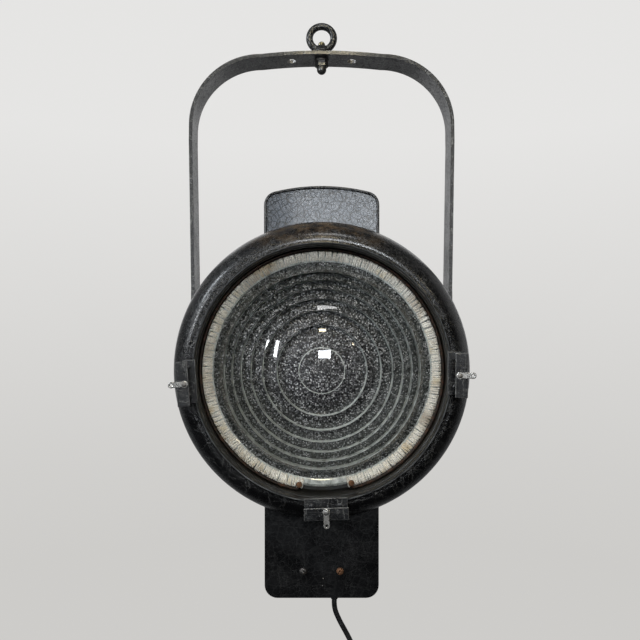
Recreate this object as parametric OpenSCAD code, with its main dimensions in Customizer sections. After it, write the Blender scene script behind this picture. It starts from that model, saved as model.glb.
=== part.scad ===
// Theatre fresnel spotlight that hangs from an eye nut in a bent flat-bar yoke.
// Millimetres, +Z up, the lamp shines along -Y. The origin is the centre of the hanging eye.

/* [Yoke] */
// Width of the flat bar
bar_w = 35; // [25:1:40]
// Thickness of the flat bar
bar_t = 4; // [3:0.5:6]
// Half the outside width just below the bends
yoke_half_w = 149; // [147:0.5:155]
// Half the outside width at the pivots
yoke_foot_half_w = 144.8; // [144:0.1:147]
// Outside radius of the two big bends
bend_r = 80; // [50:1:90]
// How far the middle of the top bar rises between the bends
crown = 4; // [0:0.5:4]
// Distance from the hanging eye down to the pivot, along the yoke
pivot_drop = 378; // [360:1:420]
// Lean of the yoke from the vertical, as the lamp hangs
lean = 3; // [0:0.5:8]
// Half the distance between the two spare holes in the top bar
spare_hole_x = 35; // [25:1:60]
// Diameter of the spare holes
spare_hole_d = 10.5; // [8:0.5:13]

/* [Hanging eye] */
// Outside diameter of the eye ring
eye_d = 36; // [34:0.5:40]
// Diameter of the hole in the eye ring
eye_hole_d = 20; // [18:0.5:22]
// Distance from the eye centre down to the top of the yoke
eye_stand = 22; // [20:0.5:26]
// Diameter of the hanging stud
stud_d = 8; // [6:1:10]

/* [Front ring] */
// Radius of the ring's rear rim
rim_r = 155.8; // [150:0.2:160]
// Radius of the ring's front lip
lip_r = 128.5; // [127.5:0.1:132]
// Radius of the cylindrical wall in front of the lens
wall_r = 127; // [124:0.5:128]
// Distance of the rear rim in front of the pivot
rim_u = 40; // [36:1:50]
// Distance of the front lip in front of the pivot
lip_u = 91; // [80:1:100]
// Turn of the ring on the drum, as it was fitted
ring_turn = 1.8; // [0:0.1:4]

/* [Lens] */
// Radius of the glass
lens_r = 121; // [118:0.5:123]
// Radius of the middle bull's-eye
eye_zone_r = 46.3; // [40:0.1:50]
// Radius of curvature of the lens face
lens_curve_r = 130; // [125:1:200]
// Number of steps round the bull's-eye
lens_steps = 6; // [3:1:6]

/* [Colour frame runners] */
// Length of each runner along the ring
runner_len = 43; // [30:1:60]
// Radius of the outside of a runner
runner_r = 139.5; // [136:0.5:142]
// Height of a runner's front lip
runner_lip = 12; // [8:0.5:14]
// Distance of a runner's front in front of the pivot
runner_u = 120; // [110:1:130]
// Thickness of the runner sheet
runner_t = 1.6; // [1:0.1:2.5]
// How far round the ring the two side runners sit below its middle
runner_drop = 2.2; // [0:0.1:4]

/* [Lamp house] */
// Outside radius of the drum
drum_r = 133; // [131.5:0.5:134]
// Width of the upright lamp house
house_w = 124; // [110:1:130]
// Depth of the upright lamp house
house_d = 126; // [120:1:140]
// Distance of the house front in front of the pivot
house_u = 28; // [24:1:32]
// Height of the roof over the lens axis
roof_z = 197; // [185:1:210]
// Depth of the base box below the lens axis
base_z = 250; // [235:1:260]
// Sheet thickness
sheet_t = 1.5; // [1:0.1:2]

/* [Focus] */
// Diameter of the lead screw
screw_d = 8; // [6:1:10]

/* [Cable] */
// Diameter of the cable
cable_d = 6; // [5:0.5:8]
// Radius of the coil at the middle of its turns
coil_r = 36; // [30:1:40]

/* [Hidden] */
$fn = 96;
clear = 0.05;
gap = 0.1;
drum_in_r = drum_r - sheet_t;
drum_back = house_d - house_u + 2;
house_back = house_d - house_u;
door_w = 120;
door_h = 198;
door_open_w = 108;
door_open_h = 186;
hinge_x = -64;
hinge_y = drum_back + 3.2;
hinge_pin_d = 3;
knuckle_d = 6.4;
knuckle_n = 5;
knuckle_len = 14;
screw_z = -165;
rod_x = 36;
rod_z = -150;
rod_d = 6;
lamp_y = 15;
bulb_r = 30;
mirror_r = 45;
mirror_rim_r = 40;
plate_top_z = -128;
nut_top_z = -eye_stand - bar_t - 1.6 - gap;
bolt_head_x = yoke_foot_half_w + gap + 1.6;
seat_back_u = 51;
seat_u = 53;
lens_back_u = 56.5;
lens_step_u = 61;
lens_rim_u = 61.4;
zone_step = 1607;
roof_r = 215;
roof_corner = 14;
base_corner = 14;
mirror_a = asin(mirror_rim_r / mirror_r);
boss_d = 36;
bolt_d = 10;
boss_end_x = yoke_foot_half_w - bar_t - 1.6;
gland_x = 15;
gland_y = 35;
coil_x = 60;
coil_z = -402;
coil_y = gland_y + 9.3;
coil_half_w = 12.4;
tail_y = coil_y + coil_half_w + cable_d / 2;
tail_x = coil_x - 33;
plug_z = -442;
rivet_r = 133;
catch_pivot_r = 131.5;
wire_d = 3.5;
wire_r = 125;
wire_u = 67.1;
wire_gap = 13;
cord_gap = 11.5;
// Places of the left, right and bottom runners round the ring
RUNNER_AT = [180 + runner_drop, -runner_drop, 270];

// Points of the free cable from the boot on the base box to the coil, in the lamp's own axes
CABLE_ROUTE = [
  [15, gland_y, -276], [15, gland_y, -282], [16, gland_y, -289], [19, gland_y, -297],
  [24, gland_y, -307], [29.5, gland_y, -317], [34.5, gland_y, -327], [38.5, gland_y, -337],
  [41, gland_y, -347], [41.5, gland_y, -356], [40, gland_y, -364.5], [36.5, gland_y, -371.5]
];
// Points of the cable's tail from the coil down to the plug
TAIL_ROUTE = [
  [27.6, tail_y - 4, -394], [27, tail_y - 1.5, -402], [27, tail_y, -411],
  [27, tail_y, -422], [27, tail_y, -432], [27, tail_y, plug_z]
];

// Points on an arc, from angle a0 to angle a1 in n steps
function arc(c, r, a0, a1, n) =
  [for (i = [0:n]) let (a = a0 + (a1 - a0) * i / n) [c[0] + r * cos(a), c[1] + r * sin(a)]];
function unit(v) = v / norm(v);
// A half outline that ends on the middle line, with its mirror image
function whole(half) = concat(half, [for (i = [len(half) - 2:-1:0]) [-half[i][0], half[i][1]]]);

// The yoke's axes: the eye is the origin and the bar hangs down along -Z
module in_yoke() rotate([-lean, 0, 0]) children();
// The lamp's axes: the pivot line is X through the origin
module in_lamp() in_yoke() translate([0, 0, -pivot_drop]) rotate([lean, 0, 0]) children();
// Round the lens axis: +Z points forwards out of the lens and +Y points up
module on_lens_axis() in_lamp() rotate([90, 0, 0]) children();
module on_ring(angle = 0) on_lens_axis() rotate([0, 0, ring_turn + angle]) children();
module along_x(len, d) rotate([0, 90, 0]) cylinder(h = len, d = d, center = true);
module along_y(len, d) rotate([-90, 0, 0]) cylinder(h = len, d = d);
module hex(af, h) cylinder(h = h, d = af / cos(30), $fn = 6);

// ---- hanging eye ----

module eye_nut() color("#2b2b2a") in_yoke() difference() {
  union() {
    rotate([90, 0, 0])
      rotate_extrude()
        translate([(eye_d + eye_hole_d) / 4, 0])
          circle(d = (eye_d - eye_hole_d) / 2, $fn = 48);
    translate([0, 0, -18]) cylinder(h = 8, d1 = 20, d2 = 14);
  }
  translate([0, 0, -19]) cylinder(h = 12, d = stud_d);
}

module hanging_stud() color("#7d7350") in_yoke() {
  translate([0, 0, -38]) cylinder(h = 30, d = stud_d);
  translate([0, 0, -8]) intersection() {
    scale(stud_d / 2) sphere(r = 1);
    cylinder(h = stud_d / 2, d = stud_d);
  }
}

module jam_nut() color("#4d4b45") in_yoke() difference() {
  translate([0, 0, -eye_stand + gap]) hex(13, 4 - gap);
  translate([0, 0, -eye_stand - 1]) cylinder(h = 6, d = stud_d);
}

module dome_washer() color("#3a3a38") in_yoke() difference() {
  translate([0, 0, -eye_stand - bar_t - 1.6 - gap]) cylinder(h = 1.6, d = 16);
  translate([0, 0, -eye_stand - bar_t - 3]) cylinder(h = 6, d = stud_d);
}

module dome_nut() color("#55534e") in_yoke() difference() {
  union() {
    translate([0, 0, nut_top_z - 6.5]) hex(13, 6.5);
    translate([0, 0, nut_top_z - 9.5]) cylinder(h = 3.2, d = 10.8);
    translate([0, 0, nut_top_z - 9.5]) sphere(d = 10.8);
  }
  translate([0, 0, -38]) cylinder(h = 20, d = stud_d);
}

// ---- yoke ----

// Right half of the yoke's outline, inset from the outside, from the foot to the middle of the top
function yoke_half(inset) =
  let (r = bend_r - inset, c = [yoke_half_w - bend_r, -eye_stand - crown - bend_r])
  concat(
    [[yoke_foot_half_w - inset, -pivot_drop], [yoke_foot_half_w - inset, -290],
     [yoke_half_w - inset, -125]],
    arc(c, r, 0, 90, 24),
    [[c[0] / 2, c[1] + r + crown * 0.72], [12, c[1] + r + crown], [0, c[1] + r + crown]]);

module yoke_plate(inset, width) rotate([90, 0, 0])
  linear_extrude(height = width, center = true) polygon(whole(yoke_half(inset)));

module yoke_bar() color("#2a2b2c") in_yoke() difference() {
  union() {
    difference() {
      yoke_plate(0, bar_w);
      yoke_plate(bar_t, bar_w + 2);
    }
    for (s = [-1, 1])
      translate([s * (yoke_foot_half_w - bar_t / 2), 0, -pivot_drop]) along_x(bar_t, bar_w);
  }
  for (s = [-1, 1]) {
    translate([s * (yoke_foot_half_w - bar_t / 2), 0, -pivot_drop]) along_x(bar_t * 3, bolt_d + 2 * clear);
    translate([s * spare_hole_x, 0, -eye_stand - 10]) cylinder(h = 20, d = spare_hole_d);
  }
  translate([0, 0, -eye_stand - 10]) cylinder(h = 20, d = stud_d + 2 * clear);
}

// ---- front ring and lens ----

// The ring's domed skin from the lip back to the rim, inset from the outside
function ring_skin(inset) =
  [for (i = [0:10]) let (a = 12 + 74 * i / 10)
    [lip_r + 3 - inset + (rim_r - lip_r - 3) * sin(a),
     rim_u + 2 - inset * 0.4 + (lip_u - rim_u - 2 - inset * 0.6) * cos(a)]];

module front_ring() color("#17181a") difference() {
  union() {
    on_lens_axis() rotate_extrude() polygon(concat(
      [[lip_r, lip_u], [lip_r + 2.5, lip_u]],
      ring_skin(0),
      [[rim_r, rim_u], [rim_r - 2.8, rim_u]],
      [for (i = [10:-1:0]) ring_skin(3)[i]],
      [[wall_r + 3, lip_u - 6], [wall_r + 3, rim_u + 5], [drum_in_r - 0.3, rim_u + 5],
       [drum_in_r - 0.3, house_u], [drum_in_r - 3.2, house_u], [drum_in_r - 3.2, rim_u + 2],
       [wall_r, rim_u + 2], [wall_r, seat_back_u], [lens_r - 4, seat_back_u], [lens_r - 4, seat_u],
       [wall_r, seat_u], [wall_r, lip_u - 2]]
    ));
    for (a = RUNNER_AT) on_ring(a)
      translate([wall_r + 2, -runner_len / 2, lip_u - 14]) cube([runner_r - wall_r - 2, runner_len, 14]);
  }
  for (a = RUNNER_AT, s = [-1, 1])
    on_ring(a) translate([rivet_r, s * 14, lip_u - 16]) cylinder(h = 20, d = 3);
  for (a = [45:90:315]) on_lens_axis() rotate([0, 0, a])
    translate([drum_in_r, 0, rim_u - 6]) along_x(20, 4);
}

module ring_screws() color("#3b3a37") for (a = [45:90:315]) on_lens_axis() rotate([0, 0, a]) {
  translate([drum_r - 2.5, 0, rim_u - 6]) along_x(9, 4);
  translate([drum_r + 1.6, 0, rim_u - 6]) along_x(2.4, 8);
}

// Outer radius of lens zone n: each zone past the bull's-eye adds the same to the radius squared
function zone_r(n) = n <= 0 ? 0 : sqrt(pow(eye_zone_r, 2) + zone_step * (n - 1));
// Height of zone n's face at radius r, with its outer edge down at the step line
function zone_u(n, r) =
  lens_step_u + sqrt(pow(lens_curve_r, 2) - r * r) - sqrt(pow(lens_curve_r, 2) - pow(zone_r(n), 2));
function zone_pts(n, count) =
  [for (i = [0:count]) let (r = zone_r(n - 1) + (zone_r(n) - zone_r(n - 1) - 0.4) * i / count)
    [r + (n > 1 ? 0.4 : 0), zone_u(n, r)]];

module lens() color("#b9c4c2", 0.5) on_lens_axis() rotate_extrude() polygon(concat(
  [[0, lens_back_u]],
  [for (p = zone_pts(1, 8)) p],
  [for (n = [2:lens_steps + 1], p = zone_pts(n, 3)) p],
  [[lens_r - 8.5, lens_step_u], [lens_r - 8.5, lens_rim_u], [lens_r, lens_rim_u], [lens_r, lens_back_u]]
));

// The cord is wound round the glass, so its section is a ring with the lens's rim in it. It stops
// short of both ends of the retaining wire.
module lens_cord() color("#d8d2c2")
  on_ring(-90 + cord_gap) rotate_extrude(angle = 360 - 2 * cord_gap) polygon([
  [115, 53.1], [122.8, 53.1], [125.4, 55.5], [125.4, 62.5], [122.5, 65], [115.5, 65], [113, 62.8],
  [113, lens_rim_u + 0.2], [lens_r + 0.1, lens_rim_u + 0.2], [lens_r + 0.1, lens_back_u - 0.1],
  [113, lens_back_u - 0.1], [113, 55]
]);

module retaining_wire() color("#6b4a30") on_ring(-90) {
  translate([0, 0, wire_u]) rotate([0, 0, wire_gap]) rotate_extrude(angle = 360 - 2 * wire_gap)
    translate([wire_r, 0]) circle(d = wire_d, $fn = 24);
  for (s = [-1, 1]) rotate([0, 0, s * wire_gap]) {
    translate([wire_r, 0, wire_u]) sphere(d = wire_d + 0.1, $fn = 24);
    translate([wire_r - 3, 0, wire_u]) along_x(6, wire_d);
    translate([wire_r - 6, 0, wire_u]) sphere(d = wire_d + 0.1, $fn = 24);
    translate([wire_r - 6, 0, wire_u]) cylinder(h = 5, d = wire_d);
  }
}

// ---- runners for the colour frame ----

// A channel in its own axes: +X outwards from the lens axis, +Z forwards
module runner() difference() {
  union() {
    translate([runner_r - runner_lip - 2.5, -runner_len / 2, lip_u])
      cube([runner_lip + 2.5, runner_len, runner_t]);
    translate([runner_r - runner_t, -runner_len / 2, lip_u])
      cube([runner_t, runner_len, runner_u - lip_u]);
    translate([runner_r - runner_lip, -runner_len / 2, runner_u - runner_t])
      cube([runner_lip, runner_len, runner_t]);
  }
  for (s = [-1, 1]) translate([rivet_r, s * 14, lip_u - 1]) cylinder(h = 4, d = 3);
  translate([catch_pivot_r, 0, runner_u - 4]) cylinder(h = 8, d = 3);
}
module runner_left() color("#26282b") on_ring(RUNNER_AT[0]) runner();
module runner_right() color("#26282b") on_ring(RUNNER_AT[1]) runner();
module runner_bottom() color("#1c1d1f") on_ring(RUNNER_AT[2]) runner();

module runner_rivets() color("#8a8a86") for (a = RUNNER_AT, s = [-1, 1]) on_ring(a) {
  translate([rivet_r, s * 14, lip_u - 10]) cylinder(h = 12, d = 3);
  translate([rivet_r, s * 14, lip_u + runner_t]) cylinder(h = 1.4, d1 = 6, d2 = 4.4);
}

// A finger catch: a flat steel lever with an eye at its outer end
module catch_lever() difference() {
  union() {
    translate([catch_pivot_r, 0, runner_u + gap]) cylinder(h = 1.8, d = 7);
    translate([catch_pivot_r, -2.8, runner_u + gap]) cube([12.6, 5.6, 1.8]);
    translate([catch_pivot_r + 12.6, 0, runner_u + gap]) cylinder(h = 1.8, d = 5.6);
  }
  translate([catch_pivot_r, 0, runner_u - 1]) cylinder(h = 6, d = 3 + 2 * clear);
  translate([catch_pivot_r + 12.2, 0, runner_u - 1]) cylinder(h = 6, d = 2.4);
}
module catch_left() color("#b5b5b0") on_ring(RUNNER_AT[0]) catch_lever();
module catch_right() color("#a5a5a0") on_ring(RUNNER_AT[1]) catch_lever();
module catch_bottom() color("#a5a5a0") on_ring(RUNNER_AT[2]) catch_lever();

module catch_rivets() color("#77756f") for (a = RUNNER_AT) on_ring(a) {
  translate([catch_pivot_r, 0, runner_u - 2.8]) cylinder(h = 5, d = 3);
  translate([catch_pivot_r, 0, runner_u + 2]) cylinder(h = 1, d1 = 5, d2 = 3.6);
  translate([catch_pivot_r, 0, runner_u - 2.8]) cylinder(h = 1.2, d = 5);
}

// ---- drum and lamp house ----

// A block as wide as the house, from its front to depth back, between two heights
module house_block(inset, back, z0, z1)
  translate([-house_w / 2 + inset, -house_u + inset, z0])
    cube([house_w - 2 * inset, back + house_u - inset, z1 - z0]);

module drum_shell() color("#141516") difference() {
  on_lens_axis() translate([0, 0, -drum_back]) difference() {
    cylinder(h = drum_back + rim_u, r = drum_r);
    translate([0, 0, -1]) cylinder(h = drum_back + rim_u + 2, r = drum_in_r);
  }
  in_lamp() {
    house_block(sheet_t, house_back - sheet_t, -drum_r - 5, -100);
    house_block(sheet_t, house_back - sheet_t, 100, drum_r + 5);
    along_x(3 * drum_r, bolt_d + 0.2);
    for (a = [45:90:315]) rotate([0, -a, 0]) translate([drum_r, -rim_u + 6, 0]) along_x(20, 4);
  }
}

module rear_plate() color("#1a1b1c") in_lamp() difference() {
  translate([0, drum_back - 1.6, 0]) along_y(1.6, 2 * drum_in_r - 0.1);
  translate([-door_open_w / 2, drum_back - 5, -door_open_h / 2]) cube([door_open_w, 10, door_open_h]);
}

// Right half of the roof's outline, inset from the outside, from the eaves to the ridge
function roof_half(inset) =
  let (x = house_w / 2 - roof_corner, a = acos(x / (roof_r - roof_corner)))
  let (cz = roof_z - roof_r, z = cz + (roof_r - roof_corner) * sin(a))
  concat(arc([x, z], roof_corner - inset, 0, a, 6), arc([0, cz], roof_r - inset, a, 90, 8));
function roof_line(inset) = whole(roof_half(inset));
eaves_z = roof_half(0)[0][1];

module house_panel(y, t, inset)
  translate([0, y + t, 0]) rotate([90, 0, 0]) linear_extrude(height = t)
    polygon(concat([[house_w / 2, 40], [house_w / 2, eaves_z], [house_w / 2 - inset, eaves_z]],
      roof_line(inset), [[-house_w / 2 + inset, eaves_z], [-house_w / 2, eaves_z], [-house_w / 2, 40]]));

module chimney_shell() color("#202226") difference() {
  in_lamp() {
    house_panel(-house_u, sheet_t, 2);
    house_panel(house_back - sheet_t, sheet_t, 2);
    for (s = [-1, 1]) translate([s * (house_w - sheet_t) / 2 - sheet_t / 2, -house_u, 40])
      cube([sheet_t, house_d, eaves_z - 40]);
  }
  on_lens_axis() cylinder(h = 400, r = drum_r + clear, center = true);
  in_lamp() for (i = [-3:3]) translate([i * 14 - 2.5, house_back - 5, 146]) cube([5, 10, 22]);
}

module chimney_cap() color("#101112") in_lamp() difference() {
  translate([0, house_back + 2, 0]) rotate([90, 0, 0]) linear_extrude(height = house_d + 4)
    polygon(concat(roof_line(0), [for (i = [len(roof_line(2)) - 1:-1:0]) roof_line(2)[i]]));
  for (i = [-2:2]) translate([i * 19 - 3, -house_u + 18, 150]) cube([6, 90, 60]);
}

// A folded plate under the vents that lets hot air past and keeps light in
module light_baffle() color("#161616") in_lamp()
  translate([0, house_back - sheet_t, 0]) rotate([90, 0, 0]) linear_extrude(height = house_d - 2 * sheet_t)
    polygon([[-46, 166], [0, 176], [46, 166], [46, 152], [44.8, 152], [44.8, 165],
      [0, 174.7], [-44.8, 165], [-44.8, 152], [-46, 152]]);

function base_line(inset) = let (x = house_w / 2 - base_corner, z = -base_z + base_corner) concat(
  [[house_w / 2 - inset, -40]], arc([x, z], base_corner - inset, 0, -90, 8),
  arc([-x, z], base_corner - inset, 270, 180, 8), [[-house_w / 2 + inset, -40]]);

module base_solid(inset, y0, y1) translate([0, y1, 0]) rotate([90, 0, 0])
  linear_extrude(height = y1 - y0) polygon(base_line(inset));

module base_box() color("#0c0d0e") difference() {
  in_lamp() base_solid(0, -house_u, house_back);
  in_lamp() base_solid(sheet_t, -house_u + sheet_t, house_back + 1);
  on_lens_axis() cylinder(h = 400, r = drum_r + clear, center = true);
  in_lamp() {
    translate([gland_x, gland_y, -base_z - 5]) cylinder(h = 10, d = 12.2);
    for (s = [-1, 1]) translate([s * 20, -house_u - 5, -221]) along_y(10, 4);
    for (s = [-1, 1], i = [0:4]) translate([s * house_w / 2 - 5, 10 + 14 * i, -232]) cube([10, 5, 26]);
  }
}

module base_back() color("#0e0f10") difference() {
  in_lamp() base_solid(sheet_t + 0.1, house_back - sheet_t, house_back);
  on_lens_axis() cylinder(h = 400, r = drum_r + 1, center = true);
  in_lamp() {
    translate([0, house_back - 5, screw_z]) along_y(10, screw_d + 2 * clear);
    for (s = [-1, 1]) translate([s * 48, house_back - 5, -225]) along_y(10, 3);
  }
}

module front_screws() color("#4a4038") in_lamp() for (s = [-1, 1]) translate([s * 20, 0, -221]) {
  translate([0, -house_u - 2.2, 0]) along_y(2.2, 8);
  translate([0, -house_u - 1, 0]) along_y(12, 4);
}

module back_screws() color("#4a4a46") in_lamp() for (s = [-1, 1]) translate([s * 48, 0, -225]) {
  translate([0, house_back, 0]) along_y(1.8, 6.5);
  translate([0, house_back - 8, 0]) along_y(9, 3);
}

// ---- pivots ----

module pivot_bosses() color("#1d1e1f") difference() {
  in_lamp() for (s = [-1, 1]) translate([s * (boss_end_x - 10), 0, 0]) along_x(20, boss_d);
  on_lens_axis() cylinder(h = 400, r = drum_r, center = true);
  in_lamp() along_x(400, bolt_d + 0.2);
}

module washer_pair(x, t, d) in_lamp() difference() {
  for (s = [-1, 1]) translate([s * (x + t / 2), 0, 0]) along_x(t, d);
  along_x(400, bolt_d + 0.2);
}
module fibre_washers() color("#5a3a26") washer_pair(boss_end_x, 1.5, 30);
module pivot_washers() color("#4a4a48") washer_pair(yoke_foot_half_w + gap, 1.6, 24);

module pivot_bolts() color("#4f4e4a") in_lamp() for (s = [-1, 1]) mirror([s < 0 ? 1 : 0, 0, 0]) {
  translate([bolt_head_x, 0, 0]) rotate([0, 90, 0]) hex(16, 6.4);
  translate([(bolt_head_x + 123) / 2, 0, 0]) along_x(bolt_head_x - 123, bolt_d);
}

module pivot_nuts() color("#4f4e4a") in_lamp() difference() {
  for (s = [-1, 1]) mirror([s < 0 ? 1 : 0, 0, 0])
    translate([drum_in_r - 8.8, 0, 0]) rotate([0, 90, 0]) hex(16, 8);
  along_x(400, bolt_d);
}

// ---- focus drive ----

module guide_rods() color("#9a9a96") in_lamp() for (s = [-1, 1])
  translate([s * rod_x, -house_u + sheet_t, rod_z]) along_y(house_d - 2 * sheet_t, rod_d);

module screw_bush() color("#a08040") in_lamp() difference() {
  translate([0, -house_u + sheet_t, screw_z]) along_y(9, 18);
  translate([0, -house_u, screw_z]) along_y(20, screw_d + 2 * clear);
}

module lead_screw() color("#8d8d88") in_lamp()
  translate([0, -house_u + sheet_t + gap, screw_z]) along_y(house_d + 8, screw_d);

module focus_knob() color("#151515") in_lamp() translate([0, house_back + 0.5, screw_z]) difference() {
  union() {
    along_y(4, 18);
    translate([0, 4, 0]) along_y(15, 34);
    for (a = [0:30:330]) rotate([0, a, 0]) translate([17, 4, 0]) along_y(15, 3.6);
  }
  translate([0, -1, 0]) along_y(30, screw_d);
}

module carriage() color("#6f706e") in_lamp() difference() {
  union() {
    translate([-45, lamp_y - 25, plate_top_z - 3]) cube([90, 78, 3]);
    for (s = [-1, 1]) {
      translate([s * rod_x, lamp_y - 18, rod_z]) along_y(50, 12);
      translate([s * rod_x - 3, lamp_y - 18, rod_z + 4]) cube([6, 50, plate_top_z - rod_z - 5]);
    }
    translate([-4, lamp_y, screw_z + 4]) cube([8, 16, plate_top_z - screw_z - 5]);
    translate([0, lamp_y, screw_z]) along_y(16, 18);
  }
  for (s = [-1, 1]) translate([s * rod_x, lamp_y - 30, rod_z]) along_y(90, rod_d + 2 * clear);
  translate([0, lamp_y - 5, screw_z]) along_y(40, screw_d + 2 * clear);
}

module socket_post() color("#8a8a86") in_lamp() translate([0, lamp_y, plate_top_z]) {
  cylinder(h = 2, d = 42);
  cylinder(h = 18, d = 26);
}

module lamp_socket() color("#e8e4da") in_lamp() translate([0, lamp_y, plate_top_z + 18]) difference() {
  union() {
    cylinder(h = 10, d = 44);
    translate([0, 0, 10]) cylinder(h = 34, d = 38);
  }
  translate([0, 0, 12]) cylinder(h = 40, d = 27.4);
}

module lamp_cap() color("#b8a468") in_lamp() translate([0, lamp_y, plate_top_z + 30.2]) {
  cylinder(h = 4, d1 = 10, d2 = 22);
  translate([0, 0, 4]) cylinder(h = 26, d = 26.6);
}

bulb_profile = concat(
  [[0, -66], [13.2, -66], [13.2, -62], [15, -48]],
  arc([0, 0], bulb_r, -55, 90, 20));
module lamp_bulb() color("#dfe8ea", 0.4) in_lamp() translate([0, lamp_y, 0]) rotate_extrude()
  difference() {
    polygon(bulb_profile);
    polygon(concat([[0, -64.6], [12.2, -64.6], [12.2, -61.5], [14, -47.6]],
      arc([0, 0], bulb_r - 0.9, -55, 90, 20), [[-1, bulb_r - 0.9], [-1, -64.6]]));
  }

module lamp_filament() color("#c8c2b0") in_lamp() translate([0, lamp_y, 0]) {
  translate([0, 0, -64.6]) cylinder(h = 30, d1 = 12, d2 = 6);
  for (s = [-1, 1]) translate([s * 2, 0, -36]) rotate([0, s * 16, 0]) cylinder(h = 36, d = 1.2);
  translate([0, 0, -1]) along_x(24, 3.4);
}

module reflector() color("#d0d3d4") in_lamp() translate([0, lamp_y, 0]) rotate([-90, 0, 0])
  rotate_extrude() polygon(concat(
    arc([0, 0], mirror_r, 90 - mirror_a, 90, 16), arc([0, 0], mirror_r + 1.5, 90, 90 - mirror_a, 16)));

module reflector_post() color("#7a7a76") in_lamp() translate([0, lamp_y, 0]) {
  translate([-6, mirror_r + 4, plate_top_z]) cube([12, 2.5, -plate_top_z + 6]);
  translate([0, mirror_r + 1.6, 0]) along_y(2.4, 12);
}

// ---- rear door ----

// Knuckle number i of the hinge, counted upwards, even ones on the drum and odd ones on the door
function knuckle_z(i) = (i - knuckle_n / 2) * (knuckle_len + 0.4);
module knuckle(i) translate([hinge_x, hinge_y, knuckle_z(i)]) difference() {
  union() {
    cylinder(h = knuckle_len, d = knuckle_d);
    translate([i % 2 == 0 ? -12 : 0, -knuckle_d / 2, 0])
      cube([12, i % 2 == 0 ? 1.5 : knuckle_d / 2, knuckle_len]);
  }
  translate([0, 0, -1]) cylinder(h = knuckle_len + 2, d = hinge_pin_d + (i % 2 == 0 ? 0 : 2 * clear));
}

module rear_door() color("#161718") in_lamp() difference() {
  union() {
    translate([-door_w / 2 + 2, drum_back + 0.3, -door_h / 2]) cube([door_w - 2, sheet_t, door_h]);
    for (s = [-1, 1]) translate([-door_open_w / 2 + 8, drum_back - 7, s * (door_open_h / 2 - 4) - 0.75])
      cube([door_open_w - 16, 7.4, 1.5]);
    for (i = [1:2:knuckle_n - 1]) knuckle(i);
  }
  for (i = [0:2:knuckle_n]) translate([hinge_x - 10, drum_back - 1, knuckle_z(i) - 0.4])
    cube([14, 12, knuckle_len + 0.8]);
  translate([hinge_x, hinge_y, -120]) cylinder(h = 240, d = hinge_pin_d + 2 * clear);
  translate([46, drum_back - 5, 0]) along_y(12, 5);
}

module door_pull() color("#1b1b1b") in_lamp() translate([46, drum_back + 0.3 + sheet_t, 0]) {
  along_y(5, 9);
  translate([0, 5, 0]) along_y(10, 20);
  translate([0, -3.5, 0]) along_y(5, 5);
}

module door_hinge() color("#1b1c1d") in_lamp() for (i = [0:2:knuckle_n - 1]) knuckle(i);

module hinge_pin() color("#8a8984") in_lamp() translate([hinge_x, hinge_y, knuckle_z(0) - 2])
  cylinder(h = knuckle_n * (knuckle_len + 0.4) + 4, d = hinge_pin_d);

// A folded spring strip on the rear plate that grips the door's free edge
module door_spring() color("#77756f") in_lamp() translate([0, drum_back, -14]) linear_extrude(height = 28)
  polygon([[62, 0], [78, 0], [78, 0.8], [64.4, 0.8], [61.6, 3.4], [63.4, 6.4], [62.7, 6.8], [60.6, 3.4],
    [62.6, 1.2]]);

// ---- wiring ----

module terminal_block() color("#ded8c8") in_lamp() difference() {
  translate([-30, -house_u + sheet_t, -232]) cube([60, 22, 22]);
  for (s = [-1, 1]) translate([s * 20, -house_u, -221]) along_y(20, 4);
  for (i = [-1:1]) translate([i * 10, -house_u + 13, -215]) cylinder(h = 8, d = 5);
}

module earth_screw() color("#b09a58") in_lamp() translate([44, 60, -base_z + sheet_t]) {
  cylinder(h = 12, d = 4);
  translate([0, 0, 3]) hex(8, 4);
}

module gland_nut() color("#2a2a2a") in_lamp() translate([gland_x, gland_y, -base_z + sheet_t]) difference() {
  hex(18, 6);
  translate([0, 0, -1]) cylinder(h = 10, d = 12);
}

module cable_boot() color("#0d0d0d") in_lamp() translate([gland_x, gland_y, -base_z]) difference() {
  union() {
    translate([0, 0, -3]) cylinder(h = 3, d = 19);
    translate([0, 0, -26]) cylinder(h = 23.5, d1 = 8, d2 = 13);
    translate([0, 0, -1]) cylinder(h = 9, d = 12);
  }
  translate([0, 0, 0]) cylinder(h = 10, d = cable_d);
}

// A tube swept along a route, each ring square to the cable there
module tube(route, d, sides) {
  n = len(route);
  function dir(i) = unit(route[min(i + 1, n - 1)] - route[max(i - 1, 0)]);
  function side(i) = let (t = dir(i)) unit([0, 1, 0] - t[1] * t);
  rings = [for (i = [0:n - 1], k = [0:sides - 1]) let (a = 360 * k / sides, s = side(i))
    route[i] + d / 2 * (cos(a) * s + sin(a) * cross(dir(i), s))];
  walls = [for (i = [0:n - 2], k = [0:sides - 1]) let (m = (k + 1) % sides)
    [i * sides + k, i * sides + m, (i + 1) * sides + m, (i + 1) * sides + k]];
  first = [for (k = [sides - 1:-1:0]) k];
  last = [for (k = [0:sides - 1]) (n - 1) * sides + k];
  polyhedron(rings, [for (f = concat(walls, [first, last])) [for (k = [len(f) - 1:-1:0]) f[k]]]);
}

module cable_lead() color("#0b0b0b") in_lamp() tube(CABLE_ROUTE, cable_d, 10);
module cable_tail() color("#0b0b0b") in_lamp() tube(TAIL_ROUTE, cable_d, 10);

module cable_coil() color("#0b0b0b") in_lamp() translate([coil_x, coil_y, coil_z]) rotate([90, 0, 0])
  rotate_extrude() polygon(concat(
    arc([coil_r + 3, coil_half_w - 3], 3, 90, 0, 4), arc([coil_r + 3, 3 - coil_half_w], 3, 0, -90, 4),
    arc([coil_r - 3, 3 - coil_half_w], 3, -90, -180, 4), arc([coil_r - 3, coil_half_w - 3], 3, 180, 90, 4)));

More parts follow.
